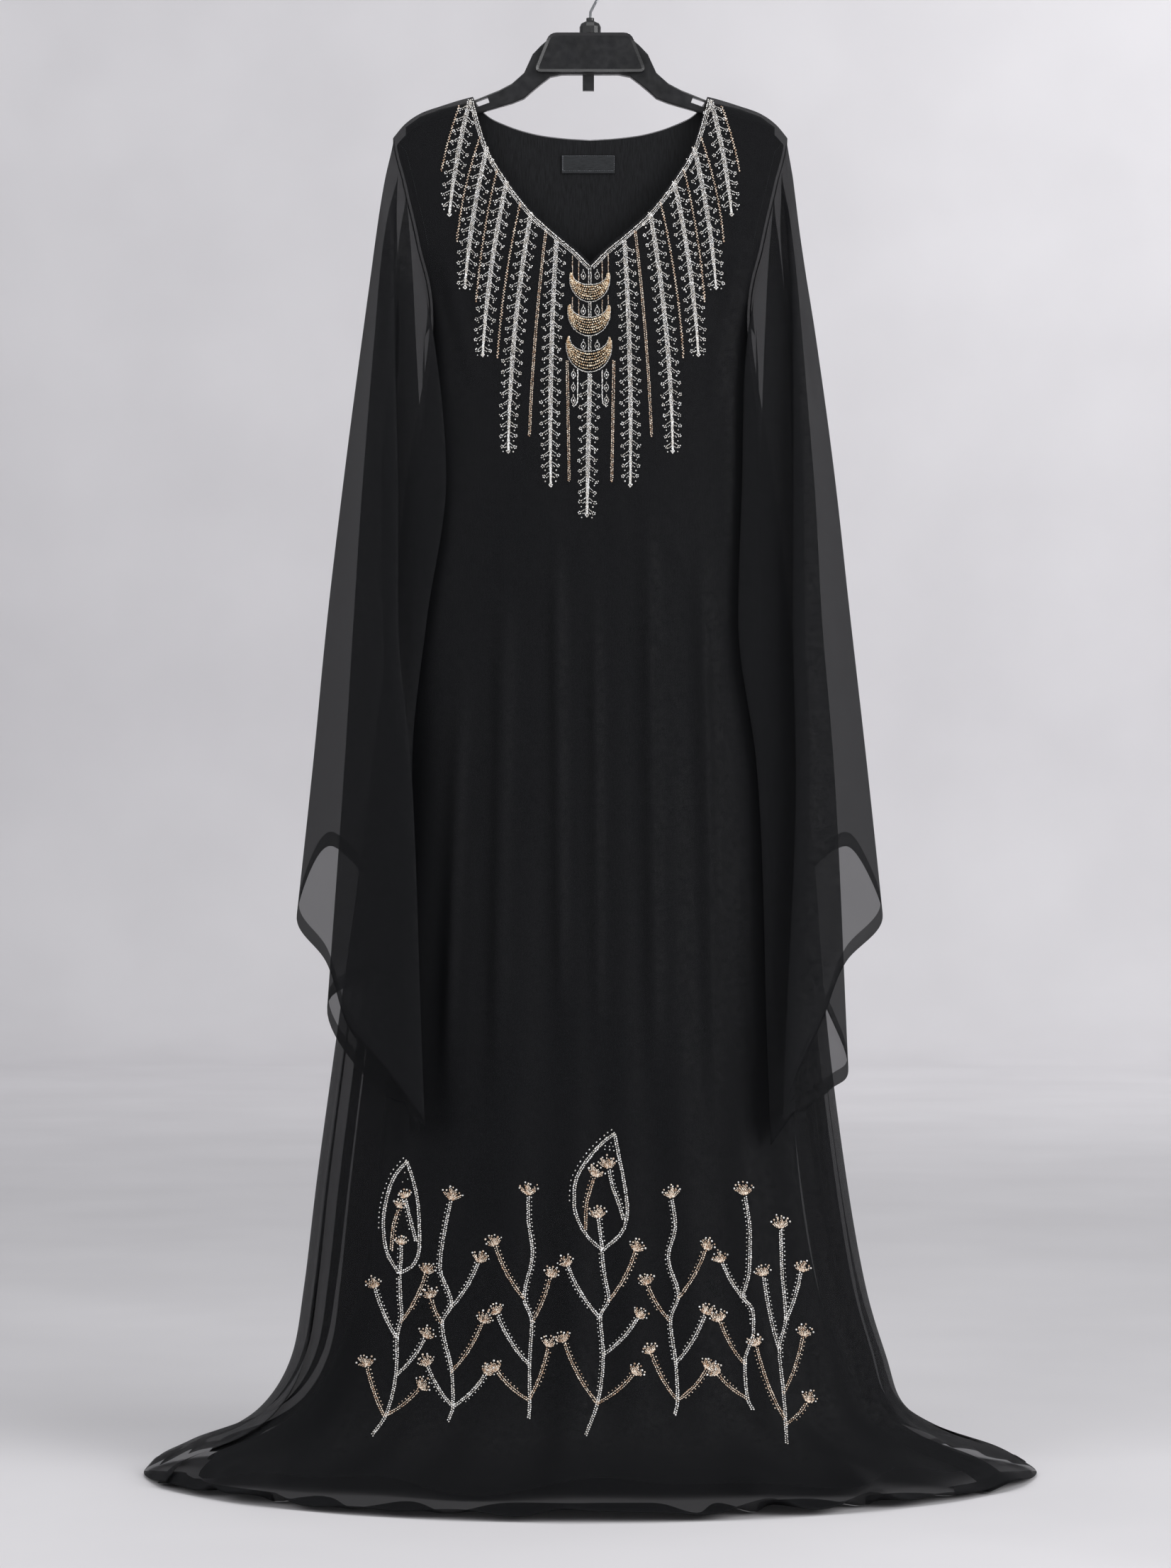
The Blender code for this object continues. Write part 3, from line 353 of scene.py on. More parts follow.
# %% Pleats at the sides
# Place, breadth, lap at the knee and at the hem in degrees, and the thickness of the layers
FRONT_PLEATS = ((-70, 1.7, 0.0, 4.4, 0.003), (63, 1.7, 0.0, 4.4, 0.003))
BACK_PLEATS = (
    (-56, 3.4, 9.0, 8.0, 0.004), (-65.5, 1.9, 5.6, 4.5, 0.003), (-74.5, 2.1, 4.4, 6.0, 0.003),
    (59, 3.2, 7.6, 6.4, 0.004), (69, 3.0, 8.0, 6.6, 0.0035), (78, 1.9, 0.0, 5.0, 0.003),
)
PLEAT_TOP = 0.80
PLEAT_FULL = 0.45


def pleat_shift(angle, up, pleats):
    """How far round the section each pleat draws the cloth, and how deep its layers lie."""
    shift = np.zeros_like(angle + up)
    depth = np.zeros_like(shift)
    degrees = np.degrees(angle)
    grown = smoothstep((PLEAT_TOP - up) / (PLEAT_TOP - PLEAT_FULL))
    low = smoothstep((PLEAT_FULL - up) / PLEAT_FULL) ** 2
    for place, breadth, at_knee, at_hem, thick in pleats:
        lap = grown * (at_knee + (at_hem - at_knee) * low)
        u = (degrees - place) / breadth
        wave = u * np.exp(0.5 - 0.5 * u**2)
        shift -= np.radians(lap) * wave
        depth -= thick * grown * wave
    return shift, depth


print("pleats in front:", len(FRONT_PLEATS), "behind:", len(BACK_PLEATS))

# %% [markdown]
# ## Arches of the hem
# A hem that is too long for the floor buckles, and its edge stands up in small arches. A few
# smooth bumps in height, which fade out within 5 cm of the floor, are enough for that.

# %% Arches of the hem
# Place, breadth and height of the arches of the front hem
FRONT_ARCHES = (
    (-55, 2.0, 0.008), (-43, 2.5, 0.009), (2.7, 3.0, 0.005), (22, 3.5, 0.013), (37, 3.0, 0.010),
)
ARCH_UP = 0.05


def hem_arch(angle, up, arches):
    """Height of the small arches where the trailing hem stands up from the floor."""
    total = np.zeros_like(angle + up)
    for place, breadth, height in arches:
        total += height * np.exp(-(((np.degrees(angle) - place) / breadth) ** 2))
    return total * smoothstep((ARCH_UP - up) / ARCH_UP)


print("highest arch:", max(height for _, _, height in FRONT_ARCHES), "m")

# %% [markdown]
# ## Creases
# Between its long folds, hanging cloth keeps sharper creases, some along them and some across.
# They are laid one by one as straight ridges and troughs, uneven as in the photograph, because a
# random pattern would look even. The back can't be seen there, so its creases are like the front's.

# %% Creases
# Each crease: where it starts and ends (out, up), its breadth and its height
FRONT_CREASES = (
    (-0.036, 1.04, -0.030, 0.42, 0.008, 0.0070), (0.004, 0.98, 0.008, 0.40, 0.007, 0.0056),
    (0.060, 1.06, 0.066, 0.36, 0.009, 0.0078), (0.115, 1.02, 0.128, 0.32, 0.009, 0.0070),
    (-0.088, 1.00, -0.098, 0.36, 0.010, 0.0066), (-0.132, 0.90, -0.150, 0.38, 0.008, 0.0056),
    (-0.055, 1.020, -0.018, 0.985, 0.004, 0.0013), (0.028, 1.030, 0.062, 0.995, 0.004, -0.0012),
    (0.070, 1.000, 0.108, 0.955, 0.005, 0.0014), (-0.105, 0.975, -0.066, 0.940, 0.005, 0.0013),
    (-0.158, 1.300, -0.118, 1.140, 0.008, 0.0026), (0.160, 1.310, 0.124, 1.120, 0.008, 0.0028),
    (-0.150, 1.190, -0.135, 0.980, 0.007, -0.0014), (0.146, 1.170, 0.140, 0.960, 0.007, 0.0015),
)
BACK_CREASES = (
    (-0.050, 1.18, -0.062, 0.38, 0.009, 0.0072), (0.030, 1.10, 0.022, 0.40, 0.008, 0.0060),
    (0.098, 1.12, 0.121, 0.34, 0.009, 0.0070), (-0.112, 1.06, -0.140, 0.34, 0.009, 0.0064),
    (-0.122, 1.31, -0.090, 1.05, 0.008, 0.0026), (0.132, 1.29, 0.098, 1.00, 0.008, 0.0028),
)
# The share of a crease's length over which it fades at each end
CREASE_FADE = 0.3


def crease_height(x, up, creases):
    """Height of short creases; each runs from one (out, up) to another, fading at its ends."""
    total = np.zeros_like(x)
    for x0, up0, x1, up1, breadth, height in creases:
        run = np.array((x1 - x0, up1 - up0))
        length = np.hypot(*run)
        run /= length
        along = ((x - x0) * run[0] + (up - up0) * run[1]) / length
        aside = (x - x0) * run[1] - (up - up0) * run[0]
        fade = smoothstep(along / CREASE_FADE) * smoothstep((1.0 - along) / CREASE_FADE)
        total += height * fade * np.exp(-((aside / breadth) ** 2))
    return total


print("creases in front:", len(FRONT_CREASES), "behind:", len(BACK_CREASES))

# %% [markdown]
# ## The body as a tube
# The body is a flattened tube. A place on it is an angle round the section and a place down the
# table, and the shoulder line closes the tube at the top. It could be one grid of heights and
# widths, but working with angles gives the cloth its own grid, which runs down the folds as a
# real warp does.

# %% The tube
FRONT, BACK = -1, 1
SHOULDER_ROUND = 0.009
SEAM_GAP = 0.0003
SECTION_FLATNESS = 0.88
HEM_FLATNESS = 1.15
HEM_SPREAD_UP = 0.06
ROWS_BETWEEN = 60


class Tube:
    """The body or its lining: a flattened tube that widens into the trailing hem."""

    def __init__(self, sections, hem_flatness=SECTION_FLATNESS):
        table = np.array(sections)
        self.hem_flatness = hem_flatness
        index = np.arange(len(table))
        names = ("up", "left", "right", "front", "back", "opening")
        self.columns = {n: SmoothLine(index, table[:, k]) for k, n in enumerate(names)}
        self.last = len(table) - 1
        self.fine_index = np.linspace(0.0, self.last, ROWS_BETWEEN * self.last)
        self.fine_up = self.columns["up"](self.fine_index)

    def index_at(self, up):
        """Place down the table for a height above the floor."""
        return np.interp(-np.asarray(up, float), -self.fine_up, self.fine_index)

    def value(self, name, index):
        return self.columns[name](index)

    def flatness(self, up, face):
        """How flat the section is; the spread hem in front is pointed at its ends."""
        if face == BACK:
            return SECTION_FLATNESS
        share = smoothstep((HEM_SPREAD_UP - up) / HEM_SPREAD_UP)
        return SECTION_FLATNESS + (self.hem_flatness - SECTION_FLATNESS) * share

    def half_width(self, index, sine):
        """Half-width on the side that the sine of the section's angle points to."""
        return np.where(sine < 0, self.value("left", index), self.value("right", index))

    def point(self, angle, index, face):
        """A point of the bare section, of the front or of the back."""
        sine = np.sin(angle)
        x = self.half_width(index, sine) * sine
        depth = self.value("front" if face == FRONT else "back", index)
        opening = self.value("opening", index)
        cosine = np.maximum(np.cos(angle), 0.0)
        up = self.value("up", index)
        y = opening + (depth - opening) * cosine ** self.flatness(up, face)
        q = np.clip((shoulder_up(np.abs(x)) - up) / SHOULDER_ROUND, 0.0, 1.0)
        y = y * np.sqrt(1.0 - (1.0 - q) ** 2) + 0.5 * SEAM_GAP
        return np.stack([x, face * y, up], axis=-1)


body = Tube(BODY_SECTIONS, HEM_FLATNESS)
hem_width = body.value("left", body.last) + body.value("right", body.last)
print(f"the trailing hem spreads {float(hem_width):.3f} m wide")

# %% [markdown]
# ## Where a panel begins
# Front and back are cut as two panels and joined at the sides and shoulders. Each column of the
# grid starts where the neckline or the shoulder cuts it. A formula for that place would be long.
# Halving the range where it lies finds it for all columns at once.

# %% Where a panel begins
HALVINGS = 40


def top_index(tube, angles, face, lowered):
    """Where each column of a panel meets its upper edge."""
    low = np.zeros_like(angles)
    high = np.full_like(angles, tube.last)
    at_neck, at_shoulder = lowered
    neck_up = front_neck_up if face == FRONT else back_neck_up
    for _ in range(HALVINGS):
        middle = 0.5 * (low + high)
        x, _, up = np.moveaxis(tube.point(angles, middle, BACK), -1, 0)
        out = np.abs(x)
        edge = np.where(out >= NECK_OUT, shoulder_up(out), neck_up(out)) - at_neck
        above = up > np.minimum(edge, shoulder_up(out) - at_shoulder)
        low = np.where(above, middle, low)
        high = np.where(above, high, middle)
    return 0.5 * (low + high)


middle_top = top_index(body, np.zeros(1), FRONT, (0.0, 0.0))
print(f"the front's middle column starts {float(body.value('up', middle_top)[0]):.4f} m up")

# %% [markdown]
# ## Columns of a panel
# The columns of the grid could be evenly spaced. But the neck point needs one of its own to stay
# a sharp corner, and a pleat needs many close ones, or its laps would turn into flat facets.

# %% Columns of a panel
NECK_POINT_GAP = 0.0012
PLEAT_REACH = 2.8
PLEAT_COLUMNS = 29
LEAST_TURN = 0.0015
# Columns of half a panel, outside its neck point and inside it
FRONT_COLUMNS = (36, 56)


def panel_angles(tube, columns, pleats):
    """Angles of a panel's columns, with one on each neck point and one close inside it."""
    outer, inner = columns
    half = float(tube.value("right", 0))
    neck = math.asin(NECK_OUT / half)
    close = math.asin((NECK_OUT - NECK_POINT_GAP) / half)
    right = [*np.linspace(0.5 * math.pi, neck, outer + 1), *np.linspace(close, 0.0, inner + 1)]
    angles = [-np.array(right), right[-2::-1]]
    for place, breadth, *_ in pleats:
        reach = PLEAT_REACH * breadth
        angles.append(np.radians(np.linspace(place - reach, place + reach, PLEAT_COLUMNS)))
    merged = np.sort(np.concatenate(angles))
    return merged[np.concatenate([[True], np.diff(merged) > LEAST_TURN])]


print("columns of the front:", len(panel_angles(body, FRONT_COLUMNS, FRONT_PLEATS)))

# %% [markdown]
# ## A folded panel
# A panel starts as the bare section. Pleats draw it round, folds and creases lift it along its own
# normal, and arches raise its hem. Normals could be asked of the finished mesh, but two short steps
# along the section give them before there is a mesh.

# %% A folded panel
ANGLE_STEP = 0.004
ROW_STEP = 0.01
FIRST_ROWS = (0.0, 0.0012, 0.003, 0.0055)
EVEN_ROWS_FROM = 0.009
RIDGE_EASE = 0.02


def unit(vectors):
    """The same directions with length 1."""
    return vectors / np.maximum(np.linalg.norm(vectors, axis=-1, keepdims=True), 1e-12)


def bare_normals(tube, angle, index, face):
    """Outward directions of the bare section, from its slopes across and down."""
    here = tube.point(angle + ANGLE_STEP, index, face)
    across = here - tube.point(angle - ANGLE_STEP, index, face)
    below = tube.point(angle, index + ROW_STEP, face)
    down = below - tube.point(angle, index - ROW_STEP, face)
    return face * unit(np.cross(across, down))


def panel_points(
    tube, face, folds, lowered, rows, columns, creases=(), pleats=(), arches=(), shorter=None
):
    """Points of a folded panel and the angles of its columns, columns first."""
    angles = panel_angles(tube, columns, pleats)
    starts = top_index(tube, angles, face, lowered)
    angle = np.repeat(angles[:, None], rows, axis=1)
    even = np.linspace(EVEN_ROWS_FROM, 1.0, rows - len(FIRST_ROWS))
    shares = np.concatenate([FIRST_ROWS, even])
    ends = np.full_like(angles, tube.last)
    if shorter:
        ends = ends - shorter(angles)
    index = starts[:, None] + (ends - starts)[:, None] * shares
    shift, layer_depth = pleat_shift(angle, tube.value("up", index), pleats)
    angle = angle + shift
    flat = tube.point(angle, index, face)
    height = fold_height(angle, flat[..., 2], folds)
    height = height + crease_height(flat[..., 0], flat[..., 2], creases)
    ridge = smoothstep((shoulder_up(np.abs(flat[..., 0])) - flat[..., 2]) / RIDGE_EASE)
    lift = (height * ridge + layer_depth)[..., None]
    points = flat + bare_normals(tube, angle, index, face) * lift
    points[..., 1] = face * np.maximum(face * points[..., 1], 0.5 * SEAM_GAP)
    points[..., 2] += hem_arch(angle, flat[..., 2], arches)
    return points, angles


middle = np.zeros(1)
outward = bare_normals(body, middle, body.index_at(FOLD_LEVELS[2]) + middle, FRONT)[0]
print("at the knee the middle of the front faces", outward.round(3))

# %% [markdown]
# ## The shape of the front
# The front is the bare section with its own folds, creases, pleats and arches. Two hundred rows
# are enough for the smallest crease, which is 8 mm wide, and keep the sheet under the limit on
# triangles. Fewer would do for the folds alone.

# %% The shape of the front
FRONT_ROWS = 200
front_points, angles = panel_points(
    body,
    FRONT,
    FRONT_FOLDS,
    lowered=(0.0, 0.0),
    rows=FRONT_ROWS,
    columns=FRONT_COLUMNS,
    creases=FRONT_CREASES,
    pleats=FRONT_PLEATS,
    arches=FRONT_ARCHES,
)
print("front panel:", front_points.shape[0], "columns of", front_points.shape[1], "points")

# %% [markdown]
# ## The trailing hem in front
# The front is cut longer than the drop to the floor. Its hem runs out along the floor, turns under
# and comes back, so three layers lie there. It turns under less at a few places, which makes the
# edge wavy. The same grid gets the extra rows, because the real cloth is one piece too.

# %% The trailing hem in front
HEM_UNDER_UP = 0.0010
HEM_LAYER_GAP = 0.0012
HEM_RUN_ROWS = 5
UNDER_ROWS = 9
UNDER_AT_SIDES = 0.045
UNDER_MORE_IN_FRONT = 0.070
DIP_SHARE = 0.6
# Middle and breadth in degrees of the places where the hem turns under less
HEM_DIPS = ((-43.5, 2.5), (-31, 4), (-18, 4), (13.5, 2.5), (21, 2), (37, 3), (55, 4))


def trailing_hem(points, reach):
    """More rows: a hem that trails on the floor turns under and back, in two more layers."""
    edge = points[:, -1]
    run = edge - points[:, -HEM_RUN_ROWS]
    run[:, 2] = 0.0
    run = unit(run)
    share = np.linspace(0.0, 1.0, UNDER_ROWS)[1:]
    under = edge[:, None] - run[:, None] * (reach[:, None] * share)[..., None]
    rise = np.maximum(edge[:, 2] - HEM_UNDER_UP, 0.0)[:, None]
    under[..., 2] = HEM_UNDER_UP + rise * (1.0 - share) ** 2
    over = under[:, ::-1][:, 1:].copy()
    over[..., 2] += HEM_LAYER_GAP
    return np.concatenate([points, under, over], axis=1)


under_reach = UNDER_AT_SIDES + UNDER_MORE_IN_FRONT * np.cos(angles) ** 2
for place, breadth in HEM_DIPS:
    under_reach *= 1.0 - DIP_SHARE * np.exp(-(((np.degrees(angles) - place) / breadth) ** 2))
front_points = trailing_hem(front_points, under_reach)
print(f"the hem turns under by {under_reach.min():.3f} to {under_reach.max():.3f} m")

# %% [markdown]
# ## The front as a mesh
# Blender could drape a plane over the solids, but then it would choose the grid. Here each sheet's
# points are already known, so its faces are written out and the mesh is made from both. A piece
# rides on the garment's one body, takes the place of the solid that it dresses, and wears the
# finish that it is given.


def mesh_object(name, points, faces, finish):
    """A named mesh from points given above the floor, riding on the garment."""
    mesh = bpy.data.meshes.new(name)
    places = np.asarray(points, float) - (0.0, 0.0, HOOK_CROWN_UP)
    mesh.from_pydata(places.tolist(), [], faces)
    mesh.shade_smooth()
    mesh.materials.append(finish)
    piece = bpy.data.objects.new(name, mesh)
    bpy.context.scene.collection.objects.link(piece)
    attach(piece, "root")
    print(f"{name}: {sum(len(p.vertices) - 2 for p in mesh.polygons)} triangles")
    return piece


def cloth_object(name, points, finish, closed=False):
    """A sheet of cloth from a grid of points given above the floor, columns first."""
    columns, rows = points.shape[:2]
    number = np.arange(columns * rows).reshape(columns, rows)
    if closed:
        number = np.concatenate([number, number[:1]])
    quads = np.stack([number[:-1, :-1], number[1:, :-1], number[1:, 1:], number[:-1, 1:]], axis=-1)
    return mesh_object(name, points.reshape(-1, 3), quads.reshape(-1, 4).tolist(), finish)


def grid_lengths(points):
    """Longest row and longest column of a grid of cloth, in metres."""
    across = np.linalg.norm(np.diff(points, axis=0), axis=-1).sum(axis=0).max()
    down = np.linalg.norm(np.diff(points, axis=1), axis=-1).sum(axis=1).max()
    return across, down


front_cloth = cloth_object("georgette_front", front_points, georgette)
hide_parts("front_panel")
print("front", grid_lengths(front_points))

# %% [markdown]
# ## A turned hem behind
# Behind, and at the cuffs, the edge is turned in 15 mm and sewn down. The double cloth shows as a
# darker band in the sheer georgette. A second sheet could give it, but the cloth's own columns,
# led back up on the inside, are what a machinist does.

# %% A turned hem behind
HEM_BAND = 0.015
HEM_BAND_GAP = 0.0008
# Shares of the band's depth at which it has rows, and of its gap there
BAND_PLACES = (0.04, 0.2, 0.6, 1.0)
BAND_GAPS = (0.5, 1.0, 1.0, 1.0)
BACK_ROWS = 180
BACK_COLUMNS = (24, 40)


def turned_hem(points, inward, closed):
    """More rows: a narrow band of the edge turned to the inside and sewn down."""
    ring = np.roll(points, -1, axis=0) - np.roll(points, 1, axis=0)
    if not closed:
        ring[0] = points[1] - points[0]
        ring[-1] = points[-1] - points[-2]
    lean = inward * unit(np.cross(ring, np.gradient(points, axis=1)))
    places = HEM_BAND * np.array(BAND_PLACES)
    fade = np.array(BAND_GAPS)[:, None]
    added = []
    for column, side in zip(points, lean):
        upward, sideways = column[::-1], side[::-1]
        away = np.cumsum([0.0, *np.linalg.norm(np.diff(upward, axis=0), axis=-1)])
        spot = np.stack([np.interp(places, away, upward[:, k]) for k in range(3)], axis=-1)
        aside = np.stack([np.interp(places, away, sideways[:, k]) for k in range(3)], axis=-1)
        added.append(spot + HEM_BAND_GAP * fade * aside)
    return np.concatenate([points, np.array(added)], axis=1)


back_points, _ = panel_points(
    body,
    BACK,
    BACK_FOLDS,
    lowered=(0.0, 0.0),
    rows=BACK_ROWS,
    columns=BACK_COLUMNS,
    creases=BACK_CREASES,
    pleats=BACK_PLEATS,
)
back_points = turned_hem(back_points, 1.0, closed=False)
back_cloth = cloth_object("georgette_back", back_points, georgette)
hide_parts("back_panel")
print("back", grid_lengths(back_points))

# %% [markdown]
# ## The lining's measurements
# The lining hangs just inside the georgette and ends a little above the floor. It is cut narrower
# than the skirt, which is why the sides of the skirt stay see-through. Its rows say the same as
# the body's rows do, and they too are the solids' own.

# %% The lining's measurements
LINING_SECTIONS = (
    (1.470, 0.2050, 0.2050, 0.0088, 0.0078, 0.0068),
    (1.414, 0.2050, 0.2050, 0.0098, 0.0088, 0.0068),
    (1.363, 0.1940, 0.1940, 0.0130, 0.0112, 0.0068),
    (1.301, 0.1800, 0.1800, 0.0172, 0.0140, 0.0058),
    (1.220, 0.1660, 0.1660, 0.0228, 0.0180, 0.0000),
    (1.050, 0.1850, 0.1850, 0.0335, 0.0260, 0.0000),
    (0.850, 0.1960, 0.1960, 0.0475, 0.0370, 0.0000),
    (0.650, 0.2050, 0.2050, 0.0635, 0.0495, 0.0000),
    (0.480, 0.2120, 0.2110, 0.0790, 0.0620, 0.0000),
    (0.320, 0.2230, 0.2200, 0.0950, 0.0750, 0.0000),
    (0.200, 0.2420, 0.2400, 0.1080, 0.0860, 0.0000),
    (0.125, 0.2680, 0.2680, 0.1190, 0.0960, 0.0000),
    (0.075, 0.3000, 0.2960, 0.1320, 0.1070, 0.0000),
    (0.045, 0.3400, 0.3330, 0.1450, 0.1180, 0.0000),
    (0.022, 0.3950, 0.3880, 0.1620, 0.1300, 0.0000),
    (0.006, 0.4300, 0.4250, 0.1850, 0.1420, 0.0000),
)
lining = Tube(LINING_SECTIONS)
knee_up = FOLD_LEVELS[2]
beside = body.half_width(body.index_at(knee_up), 1) - lining.half_width(lining.index_at(knee_up), 1)
print(f"at the knee the skirt stands {1000 * float(beside):.0f} mm out past the lining")

# %% [markdown]
# ## Lining panels
# Satin hangs nearly flat here, with a few weak folds. Its hem would be a ruled line if each column
# ended in the same row, so two slow waves make it uneven, as a hanging edge is.

# %% Lining panels
LINING_FOLDS = ((-35, 9, 0.0, 0.002, 0.003), (4, 9, 0.0, 0.002, 0.003), (38, 9, 0.0, 0.002, 0.003))
# How far the upper edge lies below the georgette's, at the neck and at the shoulder
LINING_LOWERED = (0.0015, 0.0140)
# In rows of the table: how much shorter the edge is, and the share, count and turn of its waves
EDGE_SHORTER = 0.55
EDGE_WAVES = ((0.32, 7.0, 0.5), (0.22, 13.0, 2.0))
LINING_ROWS = 90
LINING_COLUMNS = (16, 30)


def lining_wave(angles):
    """How much shorter the lining hangs round its edge, in rows of its table."""
    rows = np.full_like(angles, EDGE_SHORTER)
    for share, count, turn in EDGE_WAVES:
        rows = rows + share * np.sin(count * angles + turn)
    return rows


linings = []
for name, face in (("satin_front", FRONT), ("satin_back", BACK)):
    points, _ = panel_points(
        lining, face, LINING_FOLDS, LINING_LOWERED, LINING_ROWS, LINING_COLUMNS, shorter=lining_wave
    )
    linings.append(cloth_object(name, points, satin))
    hem_round = np.linalg.norm(np.diff(points[:, -1], axis=0), axis=-1).sum()
    print(f"{name}: its hem is {hem_round:.2f} m round")
lining_front, lining_back = linings
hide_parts("lining_front")
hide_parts("lining_back")

# %% [markdown]
# ## The left sleeve's lines
# A wing sleeve is a wide tube that falls from the armhole in folds and ends in a slanting cuff.
# Each row of the table is one line down the tube: where it leaves the armhole, on which side of its
# seam (-1 in front, 1 behind), how far out it hangs at six heights, where its hem is, and how many
# layers it lies in front of the rearmost one. Where the cloth doubles back, four layers lie behind
# one another and the sleeve turns nearly black.

# %% The left sleeve's lines
SLEEVE_LEVELS = (1.32, 1.20, 1.05, 0.90, 0.75, 0.45)
LEFT_SLEEVE = (
    (1.4140, -0.2, 0.2235, 0.2395, 0.2588, 0.2765, 0.2905, 0.3220, 0.594, 2.6),
    (1.4020, -1, 0.2180, 0.2330, 0.2490, 0.2610, 0.2690, 0.2760, 0.545, 3.4),
    (1.3940, -1, 0.2120, 0.2220, 0.2320, 0.2385, 0.2430, 0.2520, 0.480, 3.4),
    (1.3860, -1, 0.2085, 0.2110, 0.2140, 0.2130, 0.2100, 0.2080, 0.430, 3.4),
    (1.3780, -1, 0.2050, 0.2045, 0.2005, 0.1995, 0.1860, 0.1735, 0.380, 2.9),
    (1.3620, -1, 0.2030, 0.2060, 0.2130, 0.2110, 0.2010, 0.1890, 0.390, 1.8),
    (1.2850, -1, 0.1880, 0.1650, 0.1520, 0.1720, 0.1860, 0.1790, 0.370, 0.5),
    (1.2150, 0.3, 0.1880, 0.1770, 0.1760, 0.1880, 0.1950, 0.1880, 0.365, 0.2),
    (1.2850, 1, 0.1880, 0.1770, 0.1760, 0.1880, 0.1950, 0.1880, 0.380, 0.1),
    (1.3450, 1, 0.2005, 0.2080, 0.2200, 0.2180, 0.2110, 0.2020, 0.430, 0.05),
    (1.3620, 1, 0.1920, 0.1840, 0.1780, 0.1900, 0.1970, 0.1900, 0.400, -0.15),
    (1.3730, 1, 0.2030, 0.2080, 0.2250, 0.2300, 0.2310, 0.2300, 0.420, 0.0),
    (1.3820, 1, 0.2165, 0.2280, 0.2390, 0.2485, 0.2570, 0.2770, 0.503, 0.6),
    (1.3890, 1, 0.2045, 0.1990, 0.2060, 0.2040, 0.1940, 0.1830, 0.560, 1.4),
    (1.3960, 1, 0.2170, 0.2290, 0.2450, 0.2570, 0.2650, 0.2780, 0.665, 1.9),
)
print("lines:", len(LEFT_SLEEVE), "cuff up", min(row[-2] for row in LEFT_SLEEVE), "m at its lowest")

# %% [markdown]
# ## The right sleeve's lines
# The right sleeve is cut as the left one but falls differently, so it has its own table instead of
# a mirrored one.

# %% The right sleeve's lines
RIGHT_SLEEVE = (
    (1.4140, -0.2, 0.2190, 0.2370, 0.2570, 0.2735, 0.2900, 0.3205, 0.594, 2.6),
    (1.4020, -1, 0.2150, 0.2320, 0.2480, 0.2580, 0.2660, 0.2650, 0.545, 3.4),
    (1.3940, -1, 0.2110, 0.2240, 0.2350, 0.2400, 0.2440, 0.2410, 0.488, 3.4),
    (1.3860, -1, 0.2090, 0.2180, 0.2220, 0.2230, 0.2260, 0.2140, 0.430, 3.4),
    (1.3780, -1, 0.2060, 0.2120, 0.2115, 0.2105, 0.2130, 0.2000, 0.385, 2.9),
    (1.3640, -1, 0.2060, 0.2150, 0.2190, 0.2200, 0.2250, 0.2130, 0.390, 1.8),
    (1.2850, -1, 0.1880, 0.1660, 0.1605, 0.1560, 0.1750, 0.1840, 0.356, 0.5),
    (1.2150, 0.3, 0.1880, 0.1770, 0.1780, 0.1760, 0.1860, 0.1960, 0.373, 0.2),
    (1.2850, 1, 0.1880, 0.1770, 0.1780, 0.1760, 0.1860, 0.1960, 0.380, 0.1),
    (1.3450, 1, 0.1975, 0.2110, 0.2250, 0.2260, 0.2310, 0.2190, 0.400, 0.05),
    (1.3620, 1, 0.1920, 0.1840, 0.1800, 0.1800, 0.1900, 0.1980, 0.380, -0.15),
    (1.3730, 1, 0.2030, 0.2080, 0.2270, 0.2320, 0.2390, 0.2480, 0.410, 0.0),
    (1.3820, 1, 0.2125, 0.2240, 0.2350, 0.2430, 0.2550, 0.2670, 0.447, 0.6),
    (1.3890, 1, 0.2010, 0.2080, 0.2120, 0.2130, 0.2180, 0.2060, 0.600, 1.4),
    (1.3960, 1, 0.2140, 0.2290, 0.2450, 0.2550, 0.2670, 0.2680, 0.665, 1.9),
)
print("lines:", len(RIGHT_SLEEVE), "cuff up", min(row[-2] for row in RIGHT_SLEEVE), "m at its lowest")

# %% [markdown]
# ## Round the sleeve
# A Catmull-Rom curve round the tube joins the lines into rounded folds. It passes through every
# line, which a plain average of neighbours wouldn't do, and each of its places is a mix of the four
# nearest lines.

# %% Round the sleeve
def ring_weights(place, count):
    """Four neighbouring lines and their Catmull-Rom weights at a place round the tube."""
    first = math.floor(place)
    t = place - first
    weights = (
        0.5 * (-t + 2 * t**2 - t**3),
        0.5 * (2 - 5 * t**2 + 3 * t**3),
        0.5 * (t + 4 * t**2 - 3 * t**3),
        0.5 * (t**3 - t**2),
    )
    return [((first - 1 + k) % count, w) for k, w in enumerate(weights)]


def ring_value(values, place):
    """A value given for each line, at a place between them."""
    return sum(values[k] * w for k, w in ring_weights(place, len(values)))


print("weights halfway:", [w for _, w in ring_weights(0.5, len(LEFT_SLEEVE))])

# %% [markdown]
# ## Down the sleeve
# A line leaves the armhole in the seam's depth and has to come forward, past the body, to where the
# sleeve hangs. In front it swings out at once and behind it takes longer, because it goes round
# the side. The layers start close together and open as they fall.

# %% Down the sleeve
LAYER_SPACING = 0.0060
FIRST_SPACING = 0.0055
LAYER_OPENING = 0.35
FRONT_TURN = 0.09
BACK_TURN = 0.16
SEAM_OUT = 0.0008
LEVEL_GAP = 0.01
CLEAR_ABOVE = 0.005
CLEAR_MORE_BELOW = 0.009
CLEAR_FROM_UP = 0.95
CLEAR_OVER = 0.45


